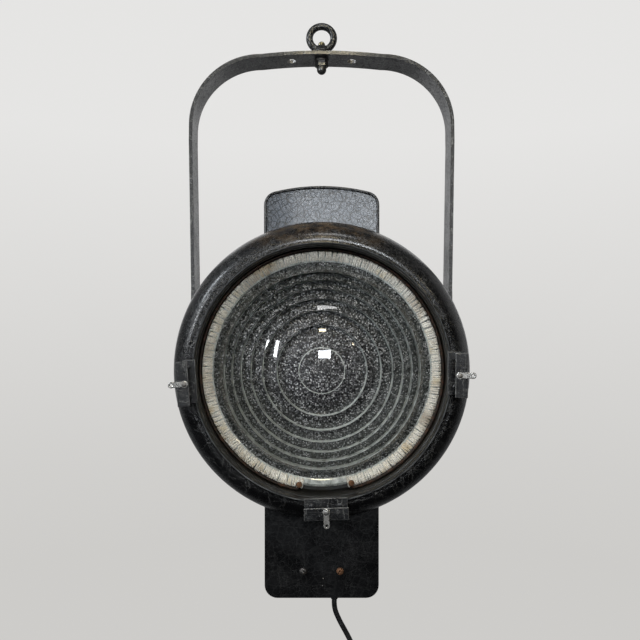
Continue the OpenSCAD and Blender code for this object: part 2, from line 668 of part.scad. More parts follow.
module cable_tie() color("#1a1a1a") in_lamp() translate([coil_x, coil_y, coil_z])
  rotate([0, 40, 0]) translate([-4, 0, coil_r]) difference() {
    translate([0, -coil_half_w - 1.3, -7.6]) cube([8, 2 * coil_half_w + 2.6, 15.2]);
    translate([-1, -coil_half_w - 0.1, -6.4]) cube([10, 2 * coil_half_w + 0.2, 12.8]);
  }

module plug_body() color("#0f0f0f") in_lamp() translate([tail_x, tail_y, plug_z]) {
  translate([0, 0, -24]) cylinder(h = 24, d1 = 14, d2 = 8);
  translate([0, 0, -38]) cylinder(h = 14, d1 = 37, d2 = 22);
  translate([0, 0, -50]) cylinder(h = 12, d = 37);
}

module plug_pins() color("#c0bfb8") in_lamp() translate([tail_x, tail_y, plug_z - 50]) for (s = [-1, 1])
  translate([s * 9.5, 0, -19]) {
    cylinder(h = 19, d = 4.8);
    sphere(d = 4.8);
  }

eye_nut();
hanging_stud();
jam_nut();
dome_nut();
dome_washer();
yoke_bar();
front_ring();
ring_screws();
lens();
lens_cord();
retaining_wire();
runner_left();
runner_right();
runner_bottom();
runner_rivets();
catch_left();
catch_right();
catch_bottom();
catch_rivets();
drum_shell();
rear_plate();
chimney_shell();
chimney_cap();
light_baffle();
base_box();
base_back();
front_screws();
back_screws();
pivot_bosses();
fibre_washers();
pivot_washers();
pivot_bolts();
pivot_nuts();
guide_rods();
screw_bush();
lead_screw();
focus_knob();
carriage();
socket_post();
lamp_socket();
lamp_cap();
lamp_bulb();
lamp_filament();
reflector();
reflector_post();
rear_door();
door_pull();
door_hinge();
hinge_pin();
door_spring();
terminal_block();
earth_screw();
gland_nut();
cable_boot();
cable_lead();
cable_coil();
cable_tie();
cable_tail();
plug_body();
plug_pins();
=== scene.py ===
# Theatre fresnel spotlight, hanging in its yoke. Metres, +Z up, the lamp shines along -Y.
# Each section below is one piece or one group of like pieces, in the order they go together.
import math

import bmesh
import bpy
from mathutils import Matrix, Vector


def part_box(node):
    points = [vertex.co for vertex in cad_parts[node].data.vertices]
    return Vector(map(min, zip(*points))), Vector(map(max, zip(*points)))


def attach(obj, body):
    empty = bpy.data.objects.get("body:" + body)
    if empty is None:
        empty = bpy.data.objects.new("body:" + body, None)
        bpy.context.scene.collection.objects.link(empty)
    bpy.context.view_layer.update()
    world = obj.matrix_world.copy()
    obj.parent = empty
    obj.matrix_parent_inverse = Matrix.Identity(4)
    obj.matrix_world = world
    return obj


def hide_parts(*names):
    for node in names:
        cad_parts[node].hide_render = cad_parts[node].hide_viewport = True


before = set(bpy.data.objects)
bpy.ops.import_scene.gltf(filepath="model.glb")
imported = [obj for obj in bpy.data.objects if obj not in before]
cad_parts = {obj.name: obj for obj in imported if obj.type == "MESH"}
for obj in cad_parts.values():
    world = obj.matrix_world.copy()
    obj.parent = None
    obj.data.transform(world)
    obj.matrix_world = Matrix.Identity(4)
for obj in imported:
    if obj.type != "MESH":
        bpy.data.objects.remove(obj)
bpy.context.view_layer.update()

# ---- camera ----
# The camera stands level, a little under a metre in front of the lamp and on the lens's middle line.
scene = bpy.context.scene
camera = bpy.data.objects.new("camera", bpy.data.cameras.new("camera"))
scene.collection.objects.link(camera)
camera.location = (-0.00185, -0.800, -0.3254)
camera.rotation_euler = (math.radians(90), 0, 0)
camera.data.sensor_width = 36
camera.data.lens = 38.93
scene.camera = camera

# ---- mains cable ----
# A round black two-core lead in a plastic sheath. It drops from the boot under the base box, and
# its spare length is wound into a tied coil. It is about 1.55 m long with a moulded plug on its end.
MM = 0.001


def middle(node):
    low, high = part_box(node)
    return (Vector(low) + Vector(high)) / 2


pivot = middle("pivot_bolts")


def lamp(x, y, z):
    """A point in the lamp's own axes, in millimetres from the middle of the pivot line."""
    return pivot + Vector((x, y, z)) * MM


def node(tree, kind, settings=None, **inputs):
    """Adds a node. An input is a value or the socket that feeds it, and i0, i1... count the inputs."""
    made = tree.nodes.new(kind)
    for key, value in (settings or {}).items():
        setattr(made, key, value)
    for key, value in inputs.items():
        counted = key[0] == "i" and key[1:].isdigit()
        socket = made.inputs[int(key[1:]) if counted else key.replace("_", " ")]
        if isinstance(value, bpy.types.NodeSocket):
            tree.links.new(value, socket)
        else:
            socket.default_value = value
    return made


def maths(tree, operation, a, b=0.0, clamp=False):
    made = node(tree, "ShaderNodeMath", {"operation": operation, "use_clamp": clamp}, i0=a, i1=b)
    return made.outputs[0]


def blend(tree, amount, a, b):
    made = node(tree, "ShaderNodeMix", {"data_type": "RGBA"}, i0=amount, i6=a, i7=b)
    return made.outputs[2]


def between(tree, value, low, high, to_low=0.0, to_high=1.0):
    made = node(tree, "ShaderNodeMapRange", None, Value=value, From_Min=low, From_Max=high,
                To_Min=to_low, To_Max=to_high)
    return made.outputs[0]


def finish(name, **values):
    """A new material, its tree, its shader and its Object coordinates."""
    made = bpy.data.materials.new(name)
    made.use_nodes = True
    tree = made.node_tree
    shader = tree.nodes["Principled BSDF"]
    for key, value in values.items():
        shader.inputs[key.replace("_", " ")].default_value = value
    return made, tree, shader, node(tree, "ShaderNodeTexCoord").outputs["Object"]


def noise(tree, where, scale, detail=3.0, rough=0.6):
    return node(tree, "ShaderNodeTexNoise", None, Vector=where, Scale=scale, Detail=detail,
                Roughness=rough).outputs["Fac"]


def set_bump(tree, shader, height, distance, strength=1.0):
    made = node(tree, "ShaderNodeBump", None, Height=height, Distance=distance, Strength=strength)
    tree.links.new(made.outputs[0], shader.inputs["Normal"])


def black_sheath(name, grey, shine):
    """Black rubber or soft plastic with dusty and rubbed places."""
    made, tree, shader, where = finish(name, Specular_IOR_Level=0.4)
    dust = noise(tree, where, 90, 5)
    rub = between(tree, noise(tree, where, 700, 2), 0.56, 0.72)
    tone = blend(tree, between(tree, dust, 0.35, 0.75), (grey, grey, grey * 1.03, 1),
                 (grey * 2.4, grey * 2.4, grey * 2.3, 1))
    tone = blend(tree, maths(tree, "MULTIPLY", rub, 0.35), tone, (0.10, 0.10, 0.095, 1))
    tree.links.new(tone, shader.inputs["Base Color"])
    tree.links.new(between(tree, dust, 0.3, 0.7, shine, shine + 0.2), shader.inputs["Roughness"])
    set_bump(tree, shader, noise(tree, where, 1400, 2), 0.00008)
    return made


sheath_black = black_sheath("sheath_black", 0.012, 0.34)
CABLE_D = 0.006
GLAND = (15, 35, -250)
cable_points = [lamp(x, GLAND[1], z) for x, z in (
    (15, -276), (15, -282), (16, -289), (19, -297), (24, -307), (29.5, -317), (34.5, -327),
    (38.5, -337), (41, -347), (41.5, -356), (40, -364.5), (36.5, -371.5))]
# Each place in the coil is a layer radius and a row offset, taken up one after another.
coil_centre = middle("cable_coil")
COIL_PLACES = ((39, -9.3), (33, -9.3), (33, -3.1), (39, -3.1), (39, 3.1), (33, 3.1), (33, 9.3))
COIL_START, COIL_END, COIL_STEP = 139.0, 2316.0, 11.0
FIRST_SHIFT, SHIFT_EVERY, SHIFT_WIDTH = 430.0, 312.0, 64.0
angle = COIL_START
while angle < COIL_END:
    radius, row = COIL_PLACES[0]
    for n in range(1, len(COIL_PLACES)):
        t = (angle - FIRST_SHIFT - SHIFT_EVERY * (n - 1)) / SHIFT_WIDTH
        t = min(1.0, max(0.0, t))
        t = t * t * (3 - 2 * t)
        radius += (COIL_PLACES[n][0] - COIL_PLACES[n - 1][0]) * t
        row += (COIL_PLACES[n][1] - COIL_PLACES[n - 1][1]) * t
    turn = math.radians(angle)
    cable_points.append(coil_centre + Vector(
        (radius * math.cos(turn), row, radius * math.sin(turn))) * MM)
    angle += COIL_STEP
cable_points += [coil_centre + Vector(p) * MM for p in (
    (-32.4, 11.4, 8), (-33, 13.9, 0), (-33, 15.4, -9), (-33, 15.4, -20), (-33, 15.4, -30),
    (-33, 15.4, -40))]

cable_curve = bpy.data.curves.new("mains_cable", "CURVE")
cable_curve.dimensions = "3D"
cable_curve.bevel_depth = CABLE_D / 2
cable_curve.bevel_resolution = 3
cable_curve.resolution_u = 3
cable_curve.use_fill_caps = True
cable_line = cable_curve.splines.new("BEZIER")
cable_line.bezier_points.add(len(cable_points) - 1)
for knot, point in zip(cable_line.bezier_points, cable_points):
    knot.co = point
    knot.handle_left_type = knot.handle_right_type = "AUTO"
cable_curve.materials.append(sheath_black)
mains_cable = bpy.data.objects.new("mains_cable", cable_curve)
scene.collection.objects.link(mains_cable)
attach(mains_cable, "head")
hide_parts("cable_lead", "cable_coil", "cable_tail")

# ---- cable boot, tie and plug ----
# The boot is soft black rubber, ribbed so that it bends with the cable. The tie is a woven strap,
# and the plug is a moulded two-pin one with grip grooves and nickel-plated pins.


def solid(name, points, faces, body, finishes, stands_for=(), sharp=35.0, faces_finish=None):
    """A closed mesh piece that rides on a body. faces_finish gives each face's place in finishes."""
    mesh = bpy.data.meshes.new(name)
    mesh.from_pydata([tuple(p) for p in points], [], faces)
    for made in finishes:
        mesh.materials.append(made)
    if faces_finish:
        for face, which in zip(mesh.polygons, faces_finish):
            face.material_index = which
    work = bmesh.new()
    work.from_mesh(mesh)
    bmesh.ops.remove_doubles(work, verts=work.verts, dist=1e-7)
    bmesh.ops.dissolve_degenerate(work, edges=work.edges, dist=1e-8)
    bmesh.ops.recalc_face_normals(work, faces=work.faces)
    work.to_mesh(mesh)
    work.free()
    mesh.shade_smooth()
    mesh.set_sharp_from_angle(angle=math.radians(sharp))
    piece = bpy.data.objects.new(name, mesh)
    scene.collection.objects.link(piece)
    if body:
        settle(piece, body, stands_for)
    return piece


def settle(piece, body, stands_for=()):
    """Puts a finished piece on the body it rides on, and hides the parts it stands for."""
    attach(piece, body)
    if stands_for:
        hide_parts(*stands_for)


def turned(profile, steps, place, closed=True):
    """Points and faces of a profile of (radius, height) turned about an axis; place puts it there."""
    points, faces, rows = [], [], len(profile)
    for k in range(steps):
        a = 2 * math.pi * k / steps
        points += [place(r * math.cos(a), r * math.sin(a), h) for r, h in profile]
    for k in range(steps):
        for j in range(rows if closed else rows - 1):
            m, n = (k + 1) % steps, (j + 1) % rows
            faces.append((k * rows + j, k * rows + n, m * rows + n, m * rows + j))
    return points, faces


def rounded(corner_points, radius, steps=3):
    """A closed outline with each corner given a small radius."""
    out, count = [], len(corner_points)
    for i in range(count):
        before, here, after = (Vector(corner_points[(i + j) % count]) for j in (-1, 0, 1))
        reach_in = min(radius, (before - here).length * 0.45, (after - here).length * 0.45)
        start = here + (before - here).normalized() * reach_in
        end = here + (after - here).normalized() * reach_in
        for k in range(steps + 1):
            t = k / steps
            out.append(start * (1 - t) ** 2 + here * 2 * t * (1 - t) + end * t ** 2)
    return [tuple(p) for p in out]


gland = lamp(*GLAND)
boot_profile = [(3.05, 0.5), (9.5, 0.5), (9.5, -3), (6.6, -3.4)]
for rib in range(7):
    z = -4.2 - rib * 3.1
    wide = 6.5 - rib * 0.36
    boot_profile += [(wide - 0.9, z), (wide - 0.9, z - 0.9), (wide, z - 1.2), (wide, z - 2.2)]
boot_profile += [(4.0, -25.4), (3.8, -26), (3.05, -26)]
points, faces = turned(boot_profile, 40, lambda x, y, h: gland + Vector((x, y, h)) * MM)
rubber_black = black_sheath("rubber_black", 0.014, 0.5)
boot = solid("boot", points, faces, "head", [rubber_black], ["cable_boot"], 50)

TIE_AT, COIL_MIDDLE_R = math.radians(40), 0.036
tie_centre = coil_centre + Vector((math.sin(TIE_AT), 0, math.cos(TIE_AT))) * COIL_MIDDLE_R
tie_turn = Matrix.Rotation(TIE_AT, 4, "Y")


def strap(outline, inside, half, place):
    """A flat loop of strap: an outline outside, the same one inside, and its two edges."""
    made, faces, count = [], [], len(outline)
    for path, side in ((outline, -half), (outline, half), (inside, half), (inside, -half)):
        made += [place(side, a, b) for a, b in path]
    for ring in range(4):
        for k in range(count):
            m, other = (k + 1) % count, (ring + 1) % 4
            faces.append((ring * count + k, ring * count + m, other * count + m, other * count + k))
    return made, faces


points, faces = strap(
    rounded([(-13.9, -7.8), (13.9, -7.8), (13.9, 7.8), (-13.9, 7.8)], 4, 6),
    rounded([(-12.7, -6.6), (12.7, -6.6), (12.7, 6.6), (-12.7, 6.6)], 3, 6), 4,
    lambda s, a, b: tie_centre + tie_turn @ (Vector((s, a, b)) * MM))
tie_cloth, tree, shader, where = finish("tie_cloth", Roughness=0.85, Sheen_Weight=0.3)
weave = node(tree, "ShaderNodeTexChecker", None, Vector=where, Scale=1500,
             Color1=(0.018, 0.018, 0.02, 1), Color2=(0.05, 0.05, 0.052, 1))
tone = blend(tree, between(tree, noise(tree, where, 220), 0.4, 0.7), weave.outputs[0], (0.07, 0.07, 0.068, 1))
tree.links.new(tone, shader.inputs["Base Color"])
set_bump(tree, shader, weave.outputs[1], 0.0002)
tie = solid("coil_tie", points, faces, "head", [tie_cloth], ["cable_tie"], 50)

plug_top = Vector((middle("plug_body").x, middle("plug_body").y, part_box("plug_body")[1][2]))
plug_profile = [(3.05, 0), (4, 0)]
for rib in range(6):
    z = -2.2 - rib * 3.4
    wide = 4.6 + rib * 0.42
    plug_profile += [(wide - 0.8, z), (wide - 0.8, z - 1), (wide, z - 1.4), (wide + 0.2, z - 2.8)]
plug_profile += [(8.2, -24), (11, -25), (14.2, -29), (17.4, -36.5), (18.2, -38.6), (17.7, -39.3),
                 (18.4, -40), (18.5, -42), (18.5, -48.6), (18.1, -49.6), (17, -50), (0, -50), (0, -10)]
points, faces = turned(plug_profile, 56, lambda x, y, h: plug_top + Vector((x, y, h)) * MM)
plug = solid("plug", points, faces, "head", [rubber_black], ["plug_body"], 40)

# ---- hanging eye ----
# A forged steel eye nut in black paint takes the hook or clamp that the lamp hangs from. The
# domed end of the hanging stud shows inside the ring, and a thin nut locks the two together.


def enamel(name, base, worn, crackle=4.2, crack_tone=0.0, rub=0.0, scratches=0.5, shine=0.3,
           rub_tone=(0.16, 0.105, 0.055, 1), depth=0.00012, crack_width=1.0):
    """Stoved black enamel: a fine crackle, hairline scratches, dust in the cracks, rubbed patches."""
    made, tree, shader, where = finish(name, Specular_IOR_Level=0.45, Coat_Weight=0.12, Coat_Roughness=0.12)
    wander = node(tree, "ShaderNodeTexNoise", None, Vector=where, Scale=90.0, Detail=2.0)
    bent = node(tree, "ShaderNodeVectorMath", {"operation": "MULTIPLY_ADD"}, i0=wander.outputs["Color"],
                i1=(0.006, 0.006, 0.006), i2=where).outputs[0]
    cells = [node(tree, "ShaderNodeTexVoronoi", {"feature": "DISTANCE_TO_EDGE"}, Vector=bent,
                  Scale=1000 / size).outputs["Distance"] for size in (crackle, crackle * 0.42)]
    cracks = maths(tree, "MAXIMUM", between(tree, cells[0], 0.075 * crack_width, 0.02),
                   maths(tree, "MULTIPLY", between(tree, cells[1], 0.06 * crack_width, 0.02), 0.55))
    patch = noise(tree, where, 38, 4)
    fine = noise(tree, where, 1100, 3)
    hair_lines = []
    for scale, stretch, turn in ((34, (1, 1, 0.22), 0.5), (40, (0.2, 1, 1), -0.7), (52, (1, 0.3, 1), 1.9)):
        drawn = node(tree, "ShaderNodeMapping", None, Vector=where, Scale=stretch,
                     Rotation=(turn, turn * 0.6, -turn)).outputs[0]
        line = maths(tree, "ABSOLUTE", maths(tree, "SUBTRACT", noise(tree, drawn, scale, 6, 0.55), 0.5))
        hair_lines.append(between(tree, line, 0.006, 0.0015))
    hair = maths(tree, "MAXIMUM", maths(tree, "MAXIMUM", hair_lines[0], hair_lines[1]), hair_lines[2])
    hair = maths(tree, "MULTIPLY", hair, between(tree, fine, 0.4, 0.62, 0.1, 1.0))
    tone = blend(tree, between(tree, patch, 0.35, 0.7), base, worn)
    tone = blend(tree, maths(tree, "MULTIPLY", between(tree, fine, 0.55, 0.75), 0.5), tone,
                 tuple(min(1.0, c * 2.6) for c in worn[:3]) + (1,))
    dark = tuple(c * 0.25 for c in base[:3]) + (1,)
    tone = blend(tree, maths(tree, "MULTIPLY", cracks, 0.85), tone,
                 dark if crack_tone == 0 else (crack_tone, crack_tone, crack_tone * 0.95, 1))
    tone = blend(tree, maths(tree, "MULTIPLY", hair, scratches), tone, (0.27, 0.27, 0.26, 1))
    if rub:
        height = node(tree, "ShaderNodeSeparateXYZ", None, i0=where).outputs[2]
        above = between(tree, height, pivot.z + 0.122, pivot.z + 0.156)
        worn_off = maths(tree, "MULTIPLY", above, between(tree, noise(tree, where, 95, 6, 0.7), 0.42, 0.6))
        tone = blend(tree, maths(tree, "MULTIPLY", worn_off, rub), tone, rub_tone)
    tree.links.new(tone, shader.inputs["Base Color"])
    rough = between(tree, patch, 0.3, 0.75, shine - 0.07, shine + 0.13)
    rough = maths(tree, "ADD", rough, maths(tree, "MULTIPLY", hair, 0.2), True)
    rough = maths(tree, "ADD", rough, maths(tree, "MULTIPLY", cracks, 0.16), True)
    tree.links.new(rough, shader.inputs["Roughness"])
    lumps = maths(tree, "ADD", maths(tree, "MULTIPLY", cracks, -0.6), maths(tree, "MULTIPLY", fine, 0.5))
    set_bump(tree, shader, maths(tree, "ADD", lumps, patch), depth)
    return made


def steel(name, bright, stain, shine=0.35, stained=0.5, scale=1.0):
    """Bare steel with fine wear marks and patches of stain."""
    made, tree, shader, where = finish(name, Metallic=0.85)
    marks = noise(tree, node(tree, "ShaderNodeMapping", None, Vector=where, Scale=(1, 0.25, 1)).outputs[0],
                  900 * scale, 4)
    patch = between(tree, noise(tree, where, 160 * scale, 5, 0.7), 0.62 - stained * 0.3, 0.75)
    tone = blend(tree, between(tree, marks, 0.3, 0.7), tuple(c * 0.7 for c in bright[:3]) + (1,), bright)
    tone = blend(tree, patch, tone, stain)
    tree.links.new(tone, shader.inputs["Base Color"])
    rough = maths(tree, "ADD", between(tree, marks, 0.3, 0.7, shine - 0.08, shine + 0.1),
                  maths(tree, "MULTIPLY", patch, 0.2))
    tree.links.new(rough, shader.inputs["Roughness"])
    set_bump(tree, shader, marks, 0.00006)
    return made


def repaint(name, made):
    """Gives a CAD node that is shown as it is a finish of its own."""
    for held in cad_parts[name].material_slots:
        held.material = made


lean = math.atan2(-pivot.y, -pivot.z)
yoke_turn = Matrix.Rotation(-lean, 4, "X")


def yoke(x, y, z):
    """A point in the yoke's leaning axes, in millimetres from the middle of the eye."""
    return yoke_turn @ (Vector((x, y, z)) * MM)


eye_black = enamel("eye_black", (0.006, 0.006, 0.0065, 1), (0.018, 0.018, 0.018, 1), 2.6, scratches=0.8,
                   shine=0.16)
EYE_R, EYE_BAR_R = 14, 4
points, faces = turned(
    [(EYE_R + EYE_BAR_R * math.cos(a), EYE_BAR_R * math.sin(a))
     for a in (2 * math.pi * k / 28 for k in range(28))],
    88, lambda x, y, h: yoke(x, h, y))
shank_points, shank_faces = turned(
    [(0, -8), (4.4, -8.6), (5.6, -11), (7.4, -13.4), (9.2, -15.2), (9.9, -16.4), (9.9, -17.6), (9.4, -18),
     (0, -18)], 48, lambda x, y, h: yoke(x, y, h))
faces += [tuple(i + len(points) for i in face) for face in shank_faces]
eye = solid("hanging_eye", points + shank_points, faces, None, [eye_black])
for kind, settings in (("REMESH", {"mode": "VOXEL", "voxel_size": 0.00045}),
                       ("SMOOTH", {"factor": 0.6, "iterations": 8})):
    modifier = eye.modifiers.new(kind, kind)
    for key, value in settings.items():
        setattr(modifier, key, value)


def made_plain(piece):
    """Turns a piece's modifiers into its own mesh."""
    graph = bpy.context.evaluated_depsgraph_get()
    mesh = bpy.data.meshes.new_from_object(piece.evaluated_get(graph))
    piece.modifiers.clear()
    piece.data = mesh
    return piece


made_plain(eye).data.shade_smooth()
settle(eye, "hanger", ["eye_nut"])
stud_brass = steel("stud_brass", (0.42, 0.37, 0.22, 1), (0.12, 0.1, 0.06, 1), 0.24, 0.3)
nut_steel = steel("nut_steel", (0.17, 0.17, 0.165, 1), (0.05, 0.045, 0.042, 1), 0.34, 0.6)
dull_steel = steel("dull_steel", (0.2, 0.195, 0.185, 1), (0.07, 0.05, 0.035, 1), 0.42, 0.6)
repaint("hanging_stud", stud_brass)
for name in ("jam_nut", "dome_washer"):
    repaint(name, dull_steel)
repaint("dome_nut", nut_steel)

# ---- yoke ----
# One flat steel bar, 35 by 4 mm, bent cold into a wide arch and painted. Its paint is worn through
# along the edges. The two spare holes beside the stud are there for a safety chain.
worn_grey = enamel("worn_grey", (0.022, 0.023, 0.025, 1), (0.05, 0.051, 0.053, 1), 6.5, scratches=1.0,
                   shine=0.36)
bright_bore = steel("bright_bore", (0.42, 0.41, 0.40, 1), (0.12, 0.11, 0.10, 1), 0.4, 0.5)
worn_edge = steel("worn_edge", (0.30, 0.30, 0.29, 1), (0.04, 0.04, 0.042, 1), 0.38, 0.95, 0.6)
BAR_W, BAR_T = 35, 4
BEND_R, YOKE_TOP, CROWN, PIVOT_DROP = 80, -22, 4, 378
HALF_W, FOOT_HALF_W = 149, 144.8
bend_x, bend_z = HALF_W - BEND_R, YOKE_TOP - CROWN - BEND_R


def yoke_line(inset):
    """The yoke's outline from the right foot over the top to the left foot."""
    radius = BEND_R - inset
    right = [(FOOT_HALF_W - inset, -PIVOT_DROP), (FOOT_HALF_W - inset, -330), (FOOT_HALF_W - inset, -290),
             (HALF_W - inset, -125)]
    right += [(bend_x + radius * math.cos(a), bend_z + radius * math.sin(a))
              for a in (math.pi / 2 * k / 28 for k in range(29))]
    right += [(x, bend_z + radius + CROWN * math.cos(math.pi / 2 * x / bend_x) ** 0.9)
              for x in (bend_x * 0.8, bend_x * 0.6, bend_x * 0.4, bend_x * 0.2)]
    return right + [(0, bend_z + radius + CROWN)] + [(-x, z) for x, z in reversed(right)]


outside, inside = yoke_line(0), yoke_line(BAR_T)
count = len(outside)
points = [yoke(x, y, z) for path, y in ((outside, -BAR_W / 2), (outside, BAR_W / 2),
                                       (inside, BAR_W / 2), (inside, -BAR_W / 2)) for x, z in path]
faces = [tuple(range(0, 4 * count, count)), tuple(count - 1 + k * count for k in range(4))]
for ring in range(4):
    other = (ring + 1) % 4
    faces += [(ring * count + k, ring * count + k + 1, other * count + k + 1, other * count + k)
              for k in range(count - 1)]
yoke_bar = solid("yoke_arch", points, faces, None, [worn_grey, worn_edge])


def cutter(radius, half, centre, axis, steps=64):
    """A plain round solid for a boolean, in the yoke's axes."""
    turn = {"X": lambda x, y, h: (h, x, y), "Z": lambda x, y, h: (x, y, h)}[axis]
    points, faces = turned([(0, -half), (radius, -half), (radius, half), (0, half)], steps,
                           lambda x, y, h: yoke(*(Vector(centre) + Vector(turn(x, y, h)))), False)
    return solid("cutter", points, faces, None, [bright_bore])


def cut(piece, other, operation):
    made = piece.modifiers.new("cut", "BOOLEAN")
    made.operation, made.object, made.solver, made.material_mode = operation, other, "EXACT", "TRANSFER"
    made_plain(piece)
    bpy.data.objects.remove(other)


foot_x = FOOT_HALF_W - BAR_T / 2
for side in (-1, 1):
    cut(yoke_bar, cutter(BAR_W / 2, BAR_T / 2, (side * foot_x, 0, -PIVOT_DROP), "X"), "UNION")
    cut(yoke_bar, cutter(5.05, 8, (side * foot_x, 0, -PIVOT_DROP), "X", 40), "DIFFERENCE")
    cut(yoke_bar, cutter(5.25, 8, (side * 35, 0, YOKE_TOP), "Z", 40), "DIFFERENCE")
cut(yoke_bar, cutter(4.05, 8, (0, 0, YOKE_TOP), "Z", 40), "DIFFERENCE")


def ease(piece, width, segments=3, finish_at=-1, angle=32.0):
    """Rounds a piece's edges, with the rounded faces in another of its finishes."""
    made = piece.modifiers.new("eased", "BEVEL")
    made.width, made.segments, made.limit_method = width * MM, segments, "ANGLE"
    made.angle_limit, made.material, made.harden_normals = math.radians(angle), finish_at, True
    made.use_clamp_overlap = True
    made_plain(piece)


ease(yoke_bar, 0.8, 3, 1)
settle(yoke_bar, "yoke", ["yoke_bar"])

# ---- drum, chimney and base box ----
# The lamp house is folded and seamed from sheet steel in crackled black enamel: a round drum, an
# upright chimney with a slotted cap over it, and a wiring box with louvred sides under it.
drum_black = enamel("drum_black", (0.010, 0.010, 0.011, 1), (0.024, 0.025, 0.026, 1), 4.5, scratches=0.5)
# The chimney's enamel is lighter and bluer than the drum's: painted sheen, the reflection of the lights in
# front on its flat face.
chimney_painted_sheen = enamel("chimney_painted_sheen", (0.024, 0.033, 0.047, 1), (0.055, 0.069, 0.092, 1), 6.5, 0.003,
                      scratches=0.2, shine=0.3, depth=0.00025, crack_width=0.95)
rim_black = enamel("rim_black", (0.008, 0.008, 0.009, 1), (0.03, 0.031, 0.033, 1), 3.4, scratches=0.6,
                   shine=0.28)
box_black = enamel("box_black", (0.0022, 0.0022, 0.0026, 1), (0.0045, 0.0045, 0.005, 1), 9, scratches=0.04,
                   shine=0.3, depth=0.00005)
inside_black = enamel("inside_black", (0.007, 0.007, 0.007, 1), (0.014, 0.013, 0.012, 1), 7, scratches=0.1,
                      shine=0.65)
repaint("drum_shell", drum_black)
repaint("chimney_shell", chimney_painted_sheen)
for name in ("chimney_cap", "rear_plate", "base_back"):
    repaint(name, rim_black)
repaint("base_box", box_black)
repaint("light_baffle", inside_black)

HOUSE_HALF, HOUSE_FRONT, HOUSE_BACK = 62, -28, 98
ROOF_R, ROOF_Z, ROOF_CORNER = 215, 197, 14


def roof_line(inset):
    """The chimney's roof from the right eaves over to the left eaves, as (x, z)."""
    x = HOUSE_HALF - ROOF_CORNER
    reach = ROOF_R - ROOF_CORNER
    end = math.acos(x / reach)
    low = ROOF_Z - ROOF_R
    z = low + reach * math.sin(end)
    radius = ROOF_CORNER - inset
    right = [(x + radius * math.cos(end * k / 6), z + radius * math.sin(end * k / 6))
             for k in range(7)]
    right += [((ROOF_R - inset) * math.cos(a), low + (ROOF_R - inset) * math.sin(a))
              for a in (end + (math.pi / 2 - end) * k / 12 for k in range(1, 12))]
    return right + [(0, ROOF_Z - inset)] + [(-x, z) for x, z in reversed(right)]


def beading(name, path, radius, body, made, loop=False, sides=10):
    """A rolled bead or wire of round section that follows a path of points."""
    points, faces, count = [], [], len(path)
    for i, here in enumerate(path):
        before = path[i - 1] if i or loop else here
        after = path[(i + 1) % count] if i < count - 1 or loop else here
        along = (after - before).normalized()
        side = along.cross(Vector((0, 1, 0)))
        side = (side if side.length > 0.05 else along.cross(Vector((1, 0, 0)))).normalized()
        up = along.cross(side)
        points += [here + radius * MM * (math.cos(a) * side + math.sin(a) * up)
                   for a in (2 * math.pi * k / sides for k in range(sides))]
    for i in range(count if loop else count - 1):
        for k in range(sides):
            m, j = (k + 1) % sides, (i + 1) % count
            faces.append((i * sides + k, i * sides + m, j * sides + m, j * sides + k))
    if not loop:
        faces += [tuple(range(sides)), tuple((count - 1) * sides + k for k in range(sides))]
    return solid(name, points, faces, body, [made], (), 60)


BEAD_FOOT = 118
for name, y in (("chimney_front_bead", HOUSE_FRONT - 1.0), ("chimney_back_bead", HOUSE_BACK + 1.0)):
    line = [(HOUSE_HALF - 0.9, BEAD_FOOT)] + roof_line(0.9) + [(-HOUSE_HALF + 0.9, BEAD_FOOT)]
    beading(name, [lamp(x, y, z) for x, z in line], 1.5, "head", rim_black)
DRUM_BEAD_R, DRUM_BEAD_Y = 134, 94
for label, first in (("right", -62.5), ("left", 117.5)):
    arc = [math.radians(first + 125 * k / 60) for k in range(61)]
    line = [lamp(DRUM_BEAD_R * math.cos(a), DRUM_BEAD_Y, DRUM_BEAD_R * math.sin(a)) for a in arc]
    beading("drum_back_bead_" + label, line, 1.6, "head", rim_black)


def placing_tree(name, round_axis):
    """Nodes that set copies of one piece in a row, or round an axis, and make them real."""
    tree = bpy.data.node_groups.new(name, "GeometryNodeTree")
    face = tree.interface
    face.new_socket("Geometry", in_out="OUTPUT", socket_type="NodeSocketGeometry")
    for label, kind in (("Piece", "Object"), ("Count", "Int"), ("Start", "Vector"), ("Step", "Vector"),
                        ("Radius", "Float"), ("First Angle", "Float"), ("Angle Step", "Float"),
                        ("Finish", "Material")):
        face.new_socket(label, in_out="INPUT", socket_type="NodeSocket" + kind)
    given = node(tree, "NodeGroupInput").outputs
    index = node(tree, "GeometryNodeInputIndex").outputs[0]
    dots = node(tree, "GeometryNodePoints", None, Count=given["Count"])
    if round_axis:
        turn = maths_in(tree, "MULTIPLY_ADD", index, given["Angle Step"], given["First Angle"])
        across = maths_in(tree, "MULTIPLY", maths_in(tree, "COSINE", turn), given["Radius"])
        up = maths_in(tree, "MULTIPLY", maths_in(tree, "SINE", turn), given["Radius"])
        spot = node(tree, "ShaderNodeCombineXYZ", None, X=across, Z=up).outputs[0]
        spot = node(tree, "ShaderNodeVectorMath", {"operation": "ADD"}, i0=spot, i1=given["Start"]).outputs[0]
        back = maths_in(tree, "MULTIPLY", turn, -1.0)
        aim = node(tree, "ShaderNodeCombineXYZ", None, Y=back).outputs[0]
    else:
        spot = node(tree, "ShaderNodeVectorMath", {"operation": "MULTIPLY_ADD"}, i0=given["Step"], i1=index,
                    i2=given["Start"]).outputs[0]
        aim = (0.0, 0.0, 0.0)
    dots = node(tree, "GeometryNodeSetPosition", None, Geometry=dots.outputs[0], Position=spot)
    shape = node(tree, "GeometryNodeObjectInfo", None, Object=given["Piece"])
    copies = node(tree, "GeometryNodeInstanceOnPoints", None, Points=dots.outputs[0],
                  Instance=shape.outputs["Geometry"], Rotation=aim)
    real = node(tree, "GeometryNodeRealizeInstances", None, i0=copies.outputs[0])
    made = node(tree, "GeometryNodeSetMaterial", None, Geometry=real.outputs[0], Material=given["Finish"])
    node(tree, "NodeGroupOutput", None, i0=made.outputs[0])
    return tree


